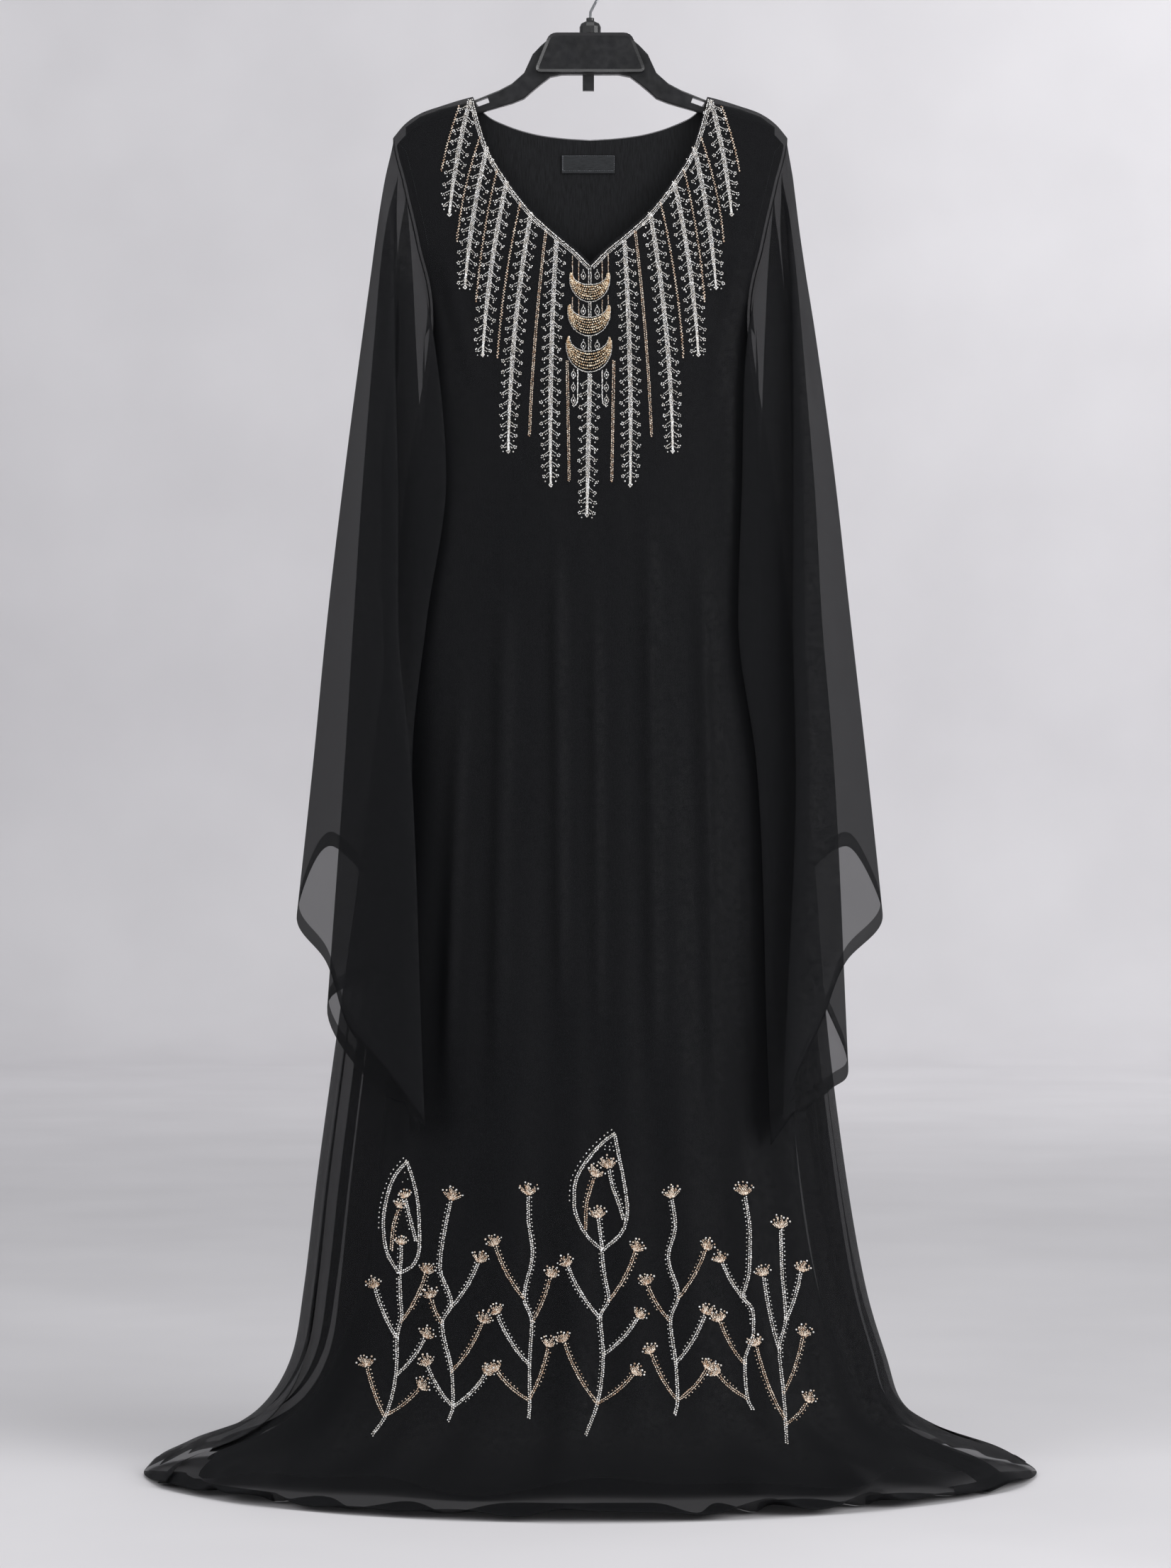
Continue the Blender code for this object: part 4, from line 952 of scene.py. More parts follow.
class SleeveLines:
    """The lines down one sleeve, read from its table."""

    def __init__(self, table, side):
        self.side = side
        self.starts, self.seams, *outs, self.hems, self.layers = np.array(table).T
        self.outs = []
        for start, *row in zip(self.starts, *outs):
            first = float(body.half_width(body.index_at(start), side)) + SEAM_OUT
            below = [k for k, level in enumerate(SLEEVE_LEVELS) if level < start - LEVEL_GAP]
            levels = [SLEEVE_LEVELS[k] for k in below]
            self.outs.append(SmoothLine((start, *levels), (first, *[row[k] for k in below])))

    def at(self, k, up):
        """Distance out, forward stand-off, turn and seam depth of one line at a height."""
        drop = np.maximum(self.starts[k] - up, 0.0)
        seam = self.seams[k]
        stand = np.sin(0.5 * math.pi * np.clip(drop / FRONT_TURN, 0.0, 1.0))
        turn = stand if seam < 0 else smoothstep(drop / BACK_TURN)
        spread = LAYER_SPACING * smoothstep(drop / LAYER_OPENING) + FIRST_SPACING * stand
        lower = smoothstep((CLEAR_FROM_UP - up) / CLEAR_OVER)
        clearance = CLEAR_ABOVE + CLEAR_MORE_BELOW * lower
        opening = float(body.value("opening", body.index_at(self.starts[k])))
        out = self.outs[k](np.minimum(up, self.starts[k]))
        return np.stack(
            [out, clearance + self.layers[k] * spread, turn, np.full_like(up, seam * opening)]
        )


left_lines = SleeveLines(LEFT_SLEEVE, -1)
right_lines = SleeveLines(RIGHT_SLEEVE, 1)
print("the first left line hangs", left_lines.at(0, np.array([0.9]))[0].round(3), "m out")

# %% [markdown]
# ## The sleeve's surface
# Between the lines, the surface is a mix of the four nearest, read at like heights: near the
# armhole each is read as far below its own start. The whole tube lies against the body's front,
# so its depth is the front's own depth plus how far the line stands off.

# %% The sleeve's surface
ARMHOLE_EASE = 0.150
SEAM_TUCK = 0.0012
SEAM_EASE = 0.05
PAST_EDGE = 1.3
FRONT_ROUND = 0.8
ROWS_CLOSER = 1.1


def front_depth(x, up):
    """Forward depth of the front at a place beside the middle, eased past its edge."""
    index = body.index_at(up)
    share = np.clip(x / (PAST_EDGE * body.half_width(index, x)), -1.0, 1.0)
    return body.value("front", index) * (1.0 - share**2) ** FRONT_ROUND


def sleeve_point(lines, place, up):
    """Points at a place round the tube, at heights; neighbours are read at like heights."""
    start = ring_value(lines.starts, place)
    hanging = smoothstep((start - up) / ARMHOLE_EASE)
    total = 0.0
    for k, weight in ring_weights(place, len(lines.starts)):
        like = up + (lines.starts[k] - start) * (1.0 - hanging)
        total = total + weight * lines.at(k, like)
    out, forward, turn, seam_depth = total
    turn = np.clip(turn, 0.0, 1.0)
    x = lines.side * out
    lying = front_depth(x, up) + forward
    return np.stack([x, seam_depth * (1.0 - turn) - lying * turn, up], axis=-1)


def sleeve_column(lines, place, rows):
    """Points down the tube at one place round it."""
    start = ring_value(lines.starts, place)
    hem = ring_value(lines.hems, place)
    ups = start + (hem - start) * np.linspace(0.0, 1.0, rows) ** ROWS_CLOSER
    points = sleeve_point(lines, place, ups)
    seam = lines.side * (float(body.half_width(body.index_at(start), lines.side)) - SEAM_TUCK)
    points[:, 0] += (seam - points[0, 0]) * (1.0 - smoothstep((start - ups) / SEAM_EASE))
    return points


cuff = sleeve_column(left_lines, 0.0, 2)[-1]
print("the first left line ends at", cuff.round(3))

# %% [markdown]
# ## Sleeves
# Each sleeve is one sheet that closes on itself, so its grid is a ring of columns. Its cuff is
# turned in like the hem behind. The two rings run round the other way from each other, so the
# inside lies on the other hand of the columns on the right.

# %% Sleeves
COLUMNS_A_LINE = 12
SLEEVE_ROWS = 150
sleeves = []
for name, lines, inward in (
    ("georgette_sleeve_left", left_lines, 1.0),
    ("georgette_sleeve_right", right_lines, -1.0),
):
    count = len(lines.starts)
    places = np.linspace(0.0, count, COLUMNS_A_LINE * count, endpoint=False)
    points = np.array([sleeve_column(lines, place, SLEEVE_ROWS) for place in places])
    points = turned_hem(points, inward, closed=True)
    sleeves.append(cloth_object(name, points, georgette, closed=True))
    print(name, grid_lengths(points))
left_cloth, right_cloth = sleeves
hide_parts("sleeve_left")
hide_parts("sleeve_right")

# %% [markdown]
# ## Hanger
# The hanger's solids already have the right shape, so they stay and only get their finish. It is
# injection-moulded polystyrene: black, hard and fairly glossy. The mould leaves a faint orange
# peel, with ripples of about 1.5 mm, which breaks up its highlights.

# %% Hanger
MOULD_RIPPLE = 0.0015
MOULD_CLOUD = 0.02
MOULD_SMEAR = 0.008
polystyrene = new_finish(
    "moulded black polystyrene",
    {"Roughness": 0.32, "IOR": 1.59, "Specular IOR Level": 0.5},
)
add_grain(polystyrene, MOULD_CLOUD, colours=("#0f0f11", "#17171a"))
add_grain(polystyrene, MOULD_SMEAR, roughness=(0.26, 0.4))
add_grain(polystyrene, MOULD_RIPPLE, relief=(0.0001, 0.25))
for part in ("hanger_arms", "hanger_plate", "hanger_boss", "hanger_clip"):
    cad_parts[part].data.materials[0] = polystyrene
    print(part, "is", polystyrene.name)

# %% [markdown]
# ## Hook
# The hook is steel wire, bright chromed. Chrome is a metal, so the shader needs only its colour
# and roughness. Drawing leaves lines in the wire that are finer than 0.1 mm; they are drawn
# 0.8 mm wide and upright, so that they show as uneven gloss.

# %% Hook
DRAWN_LINE = 0.0008
DRAWN_SHARE = 0.15
chrome = new_finish("chromed steel wire", {"Metallic": 1.0, "Roughness": 0.12})
add_grain(
    chrome,
    DRAWN_LINE,
    colours=("#c2c4c8", "#dadbdd"),
    roughness=(0.08, 0.2),
    stretch=(1, 1, DRAWN_SHARE),
)
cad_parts["hook"].data.materials[0] = chrome
print("hook is", chrome.name)

# %% [markdown]
# ## Bead finishes
# The beading is glass: silver-lined seed beads on the fronds and stems, champagne ones in the
# strings and flowers, and gold ones on the crescents. The lining makes a clear bead glitter from
# inside, which reads as pale, half-metallic and uneven from bead to bead. The half-metallic gloss
# is real, and the paler of each finish's two colours is a painted glint of the lining. The
# unevenness comes from a noise whose grain is 2.2 mm, about a bead's width.

# %% Bead finishes
BEAD_GRAIN = 0.0022


def bead_finish(name, dark, light):
    """Lined glass in two tones that vary from bead to bead; the paler tone is a painted glint."""
    finish = new_finish(name, {"Metallic": 0.25, "Roughness": 0.25, "IOR": 1.52})
    add_grain(finish, BEAD_GRAIN, colours=(dark, light), roughness=(0.38, 0.16), detail=0.0)
    print("finish:", name)
    return finish


# The second, palest colour of each finish is a painted glint of the lining.
silver_beads = bead_finish("silver-lined glass beads", "#d2ccc4", "#ffffff")
champagne_beads = bead_finish("champagne-lined glass beads", "#b8967a", "#fff2e2")
gold_beads = bead_finish("gold-lined glass beads", "#a27c50", "#fff0d6")

# %% [markdown]
# ## One bead
# A seed bead is a short piece of glass tube, rounded by heat. At this distance its hole can't be
# seen, so each bead is a twenty-sided ball, stretched where the real one is a long bead. A smooth
# sphere would look the same at this size and need many more faces.

# %% One bead
golden = (1.0 + math.sqrt(5.0)) / 2.0
BALL = unit(
    np.array(
        [
            (-1, golden, 0), (1, golden, 0), (-1, -golden, 0), (1, -golden, 0),
            (0, -1, golden), (0, 1, golden), (0, -1, -golden), (0, 1, -golden),
            (golden, 0, -1), (golden, 0, 1), (-golden, 0, -1), (-golden, 0, 1),
        ]
    )
)
BALL_FACES = np.array(
    [
        (0, 11, 5), (0, 5, 1), (0, 1, 7), (0, 7, 10), (0, 10, 11), (1, 5, 9), (5, 11, 4),
        (11, 10, 2), (10, 7, 6), (7, 1, 8), (3, 9, 4), (3, 4, 2), (3, 2, 6), (3, 6, 8),
        (3, 8, 9), (4, 9, 5), (2, 4, 11), (6, 2, 10), (8, 6, 7), (9, 8, 1),
    ]
)
print("faces of a bead:", len(BALL_FACES))

# %% [markdown]
# ## Finding the cloth
# An embroiderer pricks the pattern on paper and sews each bead where the paper says. Here the
# paper is the photograph's own frame: a bead's place is given in picture points, and the sight
# line through it finds the cloth. Placing beads by hand in space would need a depth for each of
# them; the search tree works it out from the cloth as it hangs.

# %% Finding the cloth
def sight(across, down):
    """The camera's place and the direction of its view through a point of the picture."""
    aim = Vector((across - 0.5 * PICTURE[0], FOCAL_PIXELS, 0.5 * PICTURE[1] - down))
    return camera.location.copy(), aim.normalized()


def cloth_tree(piece):
    """A search tree over a piece, for finding where a sight line meets it."""
    places = [piece.matrix_world @ v.co for v in piece.data.vertices]
    faces = [tuple(p.vertices) for p in piece.data.polygons]
    return BVHTree.FromPolygons(places, faces)


sewing_cloth = cloth_tree(front_cloth)
spot = sewing_cloth.ray_cast(*sight(0.5 * PICTURE[0], 0.5 * PICTURE[1]))[0]
print("the picture's middle meets the cloth at", [round(value, 3) for value in spot])

# %% [markdown]
# ## Walking along a path
# A row of beads is a path and a pitch, as a beader counts them. Curve objects could carry the
# beads, but a walk in picture points needs no objects: it measures the path step by step, and
# then tells the spot at any distance and which way the path runs there.

# %% Walking along a path
def walk(path):
    """A path of picture points, the length of each step, and the distance reached at each point."""
    path = np.asarray(path, float)
    steps = np.hypot(*np.diff(path, axis=0).T)
    return path, steps, np.concatenate([[0.0], np.cumsum(steps)])


def spot_on(walked, place):
    """The spot at a distance along a walked path, and the direction there."""
    path, steps, reached = walked
    k = min(np.searchsorted(reached, place, side="right") - 1, len(steps) - 1)
    run = (path[k + 1] - path[k]) / steps[k]
    return path[k] + run * (place - reached[k]), run


print("5 points along a corner:", spot_on(walk([(0, 0), (4, 0), (4, 4)]), 5.0)[0])

# %% [markdown]
# ## Sewing beads down
# The beads of a motif are listed first and sewn afterwards. Then each one finds its place on the
# cloth, leans with it and wanders a little, as by hand, and all of them are joined in one mesh,
# which is far lighter than thousands of objects. One picture point is about 0.75 mm on the
# garment.

# %% Sewing beads down
POINT_SIZE = 0.00075
BEAD_DEPTH = 0.8
BEAD_STAND = 0.6


class Beading:
    """Beads listed by their picture points, then sewn on a cloth as one mesh."""

    def __init__(self, seed):
        self.beads = []
        self.random = np.random.default_rng(seed)

    def bead(self, spot, size, long=1.0, run=(0.0, 1.0), lift=0.0):
        """One bead: its spot, width in picture points, length in widths, and direction."""
        self.beads.append((*spot, size, long, *run, lift))

    def row(self, path, pitch, size, long=1.0, offset=0.0, start=0.0, lift=0.0):
        """Beads along a path of picture points, set off to its side."""
        walked = walk(path)
        for place in np.arange(start, walked[2][-1] + 1e-6, pitch):
            spot, run = spot_on(walked, place)
            self.bead(spot + offset * np.array((run[1], -run[0])), size, long, run, lift)

    def sew(self, name, finish, tree, uneven=0.12, wander=0.2):
        """Find each bead's place on the cloth and join them all."""
        verts = []
        for across, down, size, long, run_x, run_y, lift in self.beads:
            across, down = np.array((across, down)) + self.random.normal(0.0, wander, 2)
            hit, normal = tree.ray_cast(*sight(across, down))[:2]
            if hit is None:
                continue
            normal = normal if normal.y < 0.0 else -normal
            out = np.array(normal)
            along = np.array((run_x, 0.0, -run_y))
            along = unit(along - out * along.dot(out))
            side = np.cross(along, out)
            half = 0.5 * size * POINT_SIZE * (1.0 + self.random.normal(0.0, uneven))
            axes = np.array((side * half, along * half * long, out * half * BEAD_DEPTH))
            verts.append(np.array(hit) + out * (half * BEAD_STAND + lift) + BALL @ axes)
        count = len(verts)
        faces = BALL_FACES + len(BALL) * np.arange(count)[:, None, None]
        points = np.concatenate(verts) + (0.0, 0.0, HOOK_CROWN_UP)
        print(f"{name}: {count} beads")
        return mesh_object(name, points, faces.reshape(-1, 3).tolist(), finish)


print("one picture point is", 1000 * POINT_SIZE, "mm on the cloth")

# %% [markdown]
# ## Edging of the neck
# A row of round silver beads follows the cut edge of the V, and two finer rows run beside it.
# Together they cover the edge and stiffen the neckline. The path is the neckline's own curve,
# turned into picture points, so the beads can't leave the edge.

# %% Edging of the neck
MIDDLE_ACROSS = 833.0
FLOOR_DOWN = 2080.0
EDGE_OUT = 0.1235
EDGE_STEPS = 60
# Pitch, width and length of the beads, distance inside the edge, and start of each row
EDGING_ROWS = ((2.5, 2.3, 1.0, 2.2, 0.0), (2.3, 1.4, 1.6, 4.9, 1.0), (2.3, 1.4, 1.6, 6.9, 0.0))


def mirrored(path):
    """The same path on the other side of the garment's middle."""
    return [(2.0 * MIDDLE_ACROSS - x, y) for x, y in path]


outs = np.linspace(0.0, EDGE_OUT, EDGE_STEPS)
sides = np.stack([outs, front_neck_up(outs)], axis=-1)
edge = [(MIDDLE_ACROSS + x / POINT_SIZE, FLOOR_DOWN - up / POINT_SIZE) for x, up in sides]
edging = Beading(seed=1)
for path, side in ((edge, 1.0), (mirrored(edge), -1.0)):
    for pitch, width, long, inside, start in EDGING_ROWS:
        edging.row(path, pitch, width, long=long, offset=-side * inside, start=start)
edging_piece = edging.sew("edging_beads", silver_beads, sewing_cloth)
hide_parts("neck_edging")

# %% [markdown]
# ## A twig of a frond
# Each frond has a pair of twigs every 11 mm. A twig is a thread of tiny beads that ends in a ring,
# or in a loose cluster where the beader left the ring open, with loose beads between one twig and
# the next. One function draws them all, and small random shifts with a fixed seed keep them from
# looking stamped.

# %% A twig of a frond
TWIG_ANGLE = math.radians(52)
TWIG_LENGTH = 15.5
TWIG_BEADED = 0.78
THREAD_PITCH = 1.9
RING_RADIUS = 1.9
RING_CHANCE = 0.75
RING_STEP = math.pi / 2.5
TWIG_FIRST = 3.6
THREAD_BEAD = 1.4
THREAD_LONG = 1.2
RING_BEAD = 1.9
CLUSTER_BEAD = 2.0
# Beads of a loose cluster, aside and below; loose beads aside, along and their width
CLUSTER = ((-1.5, -0.7), (1.5, -0.5), (0.0, 1.6), (2.4, 2.0))
LOOSE_BEADS = ((4.4, 7.6, 1.7), (6.7, 8.8, 1.7), (9.4, 14.2, 2.2))
spines = Beading(seed=2)
twigs = Beading(seed=3)


def turned(direction, angle):
    """A direction turned by an angle in the picture."""
    cosine, sine = math.cos(angle), math.sin(angle)
    x, y = direction
    return np.array((x * cosine - y * sine, x * sine + y * cosine))


def twig(root, run, side, share):
    """One twig: a thread of small beads, a ring at its end and loose beads below it."""
    aim = turned(run, side * TWIG_ANGLE * twigs.random.uniform(0.93, 1.07))
    across = np.array((-run[1], run[0])) * side
    length = TWIG_LENGTH * share * twigs.random.uniform(0.92, 1.06)
    for place in np.arange(TWIG_FIRST, TWIG_BEADED * length, THREAD_PITCH):
        twigs.bead(root + aim * place, THREAD_BEAD, THREAD_LONG, aim)
    centre = root + aim * length
    turn = twigs.random.uniform(0.0, 1.2)
    if twigs.random.random() < RING_CHANCE:
        for angle in np.arange(turn, turn + 2.0 * math.pi - 0.1, RING_STEP):
            ring = RING_RADIUS * np.array((math.cos(angle), math.sin(angle)))
            twigs.bead(centre + ring, RING_BEAD)
    else:
        for aside, below in CLUSTER:
            twigs.bead(centre + (side * aside, below), CLUSTER_BEAD)
    for aside, along, width in LOOSE_BEADS:
        twigs.bead(root + across * aside * share + run * along, width)


print("twigs leave the spine at", round(math.degrees(TWIG_ANGLE)), "degrees")

# %% [markdown]
# ## The spine of a frond
# A spine is four close rows of silver beads, drawn together towards the tip. Every second row
# starts half a pitch on, so that the beads lock. A tube would be lighter, but light would run
# along it unbroken.

# %% The spine of a frond
SPINE_PITCH = 2.5
SPINE_BEAD = 1.8
SPINE_LONG = 1.15
SPINE_TAPER = 0.55
TAPER_FROM = 0.6
SPINE_ROWS = (-2.4, -0.8, 0.8, 2.4)


def spine(walked):
    """The rows of beads along a walked path."""
    length = walked[2][-1]
    for row, offset in enumerate(SPINE_ROWS):
        for place in np.arange(0.5 * SPINE_PITCH * (row % 2), length, SPINE_PITCH):
            tapered = smoothstep((place / length - TAPER_FROM) / (1.0 - TAPER_FROM))
            taper = 1.0 - SPINE_TAPER * tapered
            spot, run = spot_on(walked, place)
            spot = spot + offset * taper * np.array((run[1], -run[0]))
            spines.bead(spot, SPINE_BEAD, SPINE_LONG, run)


print(f"a spine has {len(SPINE_ROWS) / SPINE_PITCH:.1f} beads to a picture point")

# %% [markdown]
# ## Where the fronds hang
# Eleven fronds hang from the neckline, longer towards the middle. They could be drawn one by one,
# but the two sides are nearly alike, so five are given by their ends and mirrored to the right,
# and one hangs in the middle.

# %% Where the fronds hang
BEND_STEPS = 24
# Start, end, and bulge of each frond left of the middle
FRONDS = (
    ((663, 142), (634, 302), -0.02),
    ((687, 208), (656, 405), -0.02),
    ((715, 256), (681, 500), -0.02),
    ((749, 300), (717, 636), -0.02),
    ((785, 340), (777, 684), -0.01),
)


def bend(start, end, bulge):
    """A path from start to end that bulges to one side by a share of its length."""
    start, end = np.array(start, float), np.array(end, float)
    t = np.linspace(0.0, 1.0, BEND_STEPS)[:, None]
    aside = np.array((end[1] - start[1], start[0] - end[0])) * bulge
    return start + (end - start) * t + aside * 4.0 * t * (1.0 - t)


print("fronds left of the middle:", len(FRONDS))

# %% [markdown]
# ## Fronds
# Each frond is a spine with twigs at even steps on both sides, shorter near its tip, and five
# larger beads at the end. All follow the same rule, so one function sews them: a bead at a time
# by hand would take thousands of entries.

# %% Fronds
TWIG_PITCH = 15.2
FIRST_TWIG = 6.0
BARE_TIP = 7.0
TWIG_FADE = 0.25
FADE_FROM = 0.75
TIP_BEAD = 2.2
TIP_BEADS = ((-2.2, 0.5), (2.2, 0.5), (0.0, 3.2), (-1.2, 1.9), (1.2, 1.9))


def frond(path):
    """A spine and its twigs along a path of picture points."""
    walked = walk(path)
    length = walked[2][-1]
    spine(walked)
    for place in np.arange(FIRST_TWIG, length - BARE_TIP, TWIG_PITCH):
        root, run = spot_on(walked, place)
        faded = smoothstep((place / length - FADE_FROM) / (1.0 - FADE_FROM))
        fading = 1.0 - TWIG_FADE * faded
        for side in (-1.0, 1.0):
            twig(root, run, side, fading)
    for spot in TIP_BEADS:
        twigs.bead(walked[0][-1] + spot, TIP_BEAD)


for start, end, bulge in FRONDS:
    path = bend(start, end, bulge)
    frond(path)
    frond(mirrored(path))
frond(bend((832, 528), (828, 726), 0.0))
spines.sew("frond_spines", silver_beads, sewing_cloth)
twigs.sew("frond_twigs", silver_beads, sewing_cloth)

# %% [markdown]
# ## Champagne strings
# Between the fronds hang single strings of champagne beads. The long inner ones are two rows
# that lock together like a zip, which makes them look twisted. In the others the beads only
# zigzag. Both are two rows set half a pitch apart, so one function sews them.

# %% Champagne strings
# Start, end, bulge, and whether the beads lock together
STRINGS = (
    ((648, 150), (623, 240), -0.02, False),
    ((677, 194), (645, 339), -0.03, False),
    ((701, 240), (672, 424), -0.02, False),
    ((734, 286), (702, 503), -0.02, False),
    ((770, 326), (747, 614), -0.01, True),
    ((800, 509), (803, 678), 0.0, True),
)
# Pitch, width and set-off of the beads in a string that locks and in one that zigzags
LOCKED = (2.6, 2.0, 1.2)
ZIGZAG = (4.2, 2.2, 0.7)
# Strings beside the crescents: place across, and where the pieces of each begin
MIDDLE_STRINGS = ((807.5, (362, 420)), (816.5, (370, 423)), (849.5, (369, 424)), (858.0, (359, 418)))
MIDDLE_STRING_LENGTH = 34
strings = Beading(seed=4)


def string_of_beads(path, locked):
    """A string, with a larger bead at its end."""
    pitch, width, aside = LOCKED if locked else ZIGZAG
    strings.row(path, pitch, width, offset=-aside)
    strings.row(path, pitch, width, offset=aside, start=0.5 * pitch)
    strings.bead(path[-1] + np.array((0.0, 1.5)), 2.6)


for start, end, bulge, locked in STRINGS:
    path = bend(start, end, bulge)
    string_of_beads(path, locked)
    string_of_beads(np.array(mirrored(path)), locked)
for x, tops in MIDDLE_STRINGS:
    for first in tops:
        strings.row([(x, first), (x, first + MIDDLE_STRING_LENGTH)], 2.1, 1.7)
strings.sew("champagne_strings", champagne_beads, sewing_cloth)

# %% [markdown]
# ## Crescents
# Three crescents of close beadwork hang below the V and stand up from the cloth as low domes. The
# solids give each dome as one smooth form. Here curved rows of beads take their place, lifted
# towards the middle to the same dome, with a paler row as outline.

# %% Crescents
# Middle; level where the outer arc is widest, its half-width and depth; level of the horns, and
# half-width and depth of the inner arc
CRESCENTS = (
    (832.0, 393.0, 28.3, 33.0, 387.0, 24.5, 15.0),
    (831.0, 440.0, 30.0, 34.0, 431.0, 26.0, 17.0),
    (831.0, 489.0, 32.0, 36.0, 475.0, 28.0, 21.0),
)
CRESCENT_ROWS = 8
CRESCENT_DOME = 0.0022
OUTER_SWEEP = 102
crescent_fill = Beading(seed=5)
crescent_line = Beading(seed=6)


def crescent_row(shape, share):
    """One curved row, from the outer arc at share 0 to the inner arc at share 1."""
    middle, widest, half, deep, horns, inner_half, inner_deep = shape
    t = np.linspace(-1.0, 1.0, 41)
    swept = np.radians(OUTER_SWEEP * t)
    outer = np.stack([half * np.sin(swept), widest + deep * np.cos(swept)], axis=-1)
    swept = 0.5 * math.pi * t
    inner = np.stack([inner_half * np.sin(swept), horns + inner_deep * np.cos(swept)], axis=-1)
    return outer * (1.0 - share) + inner * share + (middle, 0.0)


for shape in CRESCENTS:
    for k, share in enumerate(np.linspace(0.0, 1.0, CRESCENT_ROWS)):
        height = CRESCENT_DOME * math.sin(math.pi * share) ** 0.6
        path = crescent_row(shape, share)
        if k in (0, CRESCENT_ROWS - 1):
            crescent_line.row(path, 1.9, 1.6, long=1.2)
        else:
            width = 2.3 if k % 2 else 2.8
            crescent_fill.row(path, 3.0, width, lift=height, start=0.7 * (k % 3))
crescent_beads = crescent_fill.sew("crescent_beads", gold_beads, sewing_cloth)
crescent_line.sew("crescent_outlines", silver_beads, sewing_cloth)
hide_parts("crescent_top", "crescent_middle", "crescent_bottom")

# %% [markdown]
# ## Drops
# Pointed drops hang in pairs between the crescents and in two chains below the last. Each drop
# is a pointed oval outlined in seed beads round one larger bead. One function draws a drop, and
# the loops hang it where the photograph has one.

# %% Drops
# Places across of the drops, and their rows: pairs between the crescents, then two chains
PAIR_ACROSS = (823.0, 842.5)
PAIR_DOWN = (389, 439, 488)
CHAIN_ACROSS = (809.0, 855.5)
CHAIN_DOWN = (529, 547, 565)
CHAIN_DROP = (3.0, 5.5)
CRESCENT_ACROSS = 832.0
# First and last point of the short double rows in the middle of each crescent
MIDDLE_ROWS = ((379, 402), (427, 448), (475, 496))
CHAIN_ENDS = (
    [(815, 523), (815, 562), (814, 569), (810, 573.5), (807, 572)],
    [(849.5, 523), (849.5, 562), (850.5, 569), (855, 573.5), (858, 572)],
)
drops = Beading(seed=7)


def drop(middle, half_width=3.2, half_length=6.0):
    """A pointed oval of seed beads with a bead inside and one on top."""
    x, y = middle
    t = np.linspace(-1.0, 1.0, 9)
    for side in (-1.0, 1.0):
        aside = side * half_width * (1.0 - np.abs(t) ** 1.6)
        drops.row(np.stack([x + aside, y + half_length * t], axis=-1), 1.8, 1.5)
    drops.bead((x, y + 0.5), 2.4, 1.5)
    drops.bead((x, y - half_length - 2.0), 1.7)


for y in PAIR_DOWN:
    for x in PAIR_ACROSS:
        drop((x, y))
for y in CHAIN_DOWN:
    for x in CHAIN_ACROSS:
        drop((x, y), *CHAIN_DROP)
for first, last in MIDDLE_ROWS:
    for x in (CRESCENT_ACROSS - 1.5, CRESCENT_ACROSS + 1.5):
        drops.row([(x, first), (x, last)], 2.0, 1.8)
for path in CHAIN_ENDS:
    drops.row(path, 2.1, 2.2)
drops.sew("drops", silver_beads, sewing_cloth)

# %% [markdown]
# ## A stem of beads
# Seven sprigs grow up from the hem. Their stems, branches and leaves are all the same line: two
# rows of beads that lock like a zip. It could be one row of flat beads, but the zip is what gives
# the real ones their rope-like edge. A smooth curve through a few points leads it.

# %% A stem of beads
SILVER, CHAMPAGNE = 0, 1
CURVE_STEPS = 90
STEM_PITCH = 3.2
STEM_ASIDE = 1.4
# Width and length of a silver and of a champagne bead
STEM_BEADS = ((2.4, 1.15), (2.0, 1.45))
LOOSE_ASIDE = 4.6
LOOSE_PITCH = 6.0
LOOSE_BEAD = 2.0
sprig_silver = Beading(seed=8)
sprig_champagne = Beading(seed=9)
TONES = (sprig_silver, sprig_champagne)


def fair_curve(points):
    """A smooth curve through picture points."""
    points, _, reached = walk(points)
    places = np.linspace(0.0, reached[-1], CURVE_STEPS)
    return np.stack([SmoothLine(reached, points[:, k])(places) for k in (0, 1)], axis=-1)


def stem(path, tone, beside=True):
    """Two rows of beads that lie side by side like a zip, with loose beads beside them."""
    beads = TONES[tone]
    width, long = STEM_BEADS[tone]
    beads.row(path, STEM_PITCH, width, long=long, offset=-STEM_ASIDE)
    beads.row(path, STEM_PITCH, width, long=long, offset=STEM_ASIDE, start=0.5 * STEM_PITCH)
    if beside:
        away = LOOSE_ASIDE if beads.random.random() < 0.5 else -LOOSE_ASIDE
        first = int(len(path) * beads.random.uniform(0.15, 0.5))
        beads.row(path[first:], LOOSE_PITCH, LOOSE_BEAD, offset=away)


print(f"stem beads are sewn {1000 * STEM_PITCH * POINT_SIZE:.1f} mm apart")

# %% [markdown]
# ## Flowers and branches
# A flower is a fan of small petals, and each petal is a pair of thin beads with a round one at its
# tip. A branch leaves the stem sideways and curls upwards, which a curve bent by one handle gives:
# the handle lies far out and low.

# %% Flowers and branches
PETAL_TURNS = (-50, -33, -16, 1, 18, 36, 54)
PETAL_PITCH = 3.1
PETAL_FIRST = 3.0
PETAL_REACH = (16.0, 21.0)
PETAL_SPREAD = 0.9
PETAL_BEAD = 1.6
PETAL_LONG = 1.9
PETAL_TIP = 3.0
SIDE_SHORTER = 0.18
FLOWER_ROOM = 7.0
HANDLE = (0.66, -0.42)


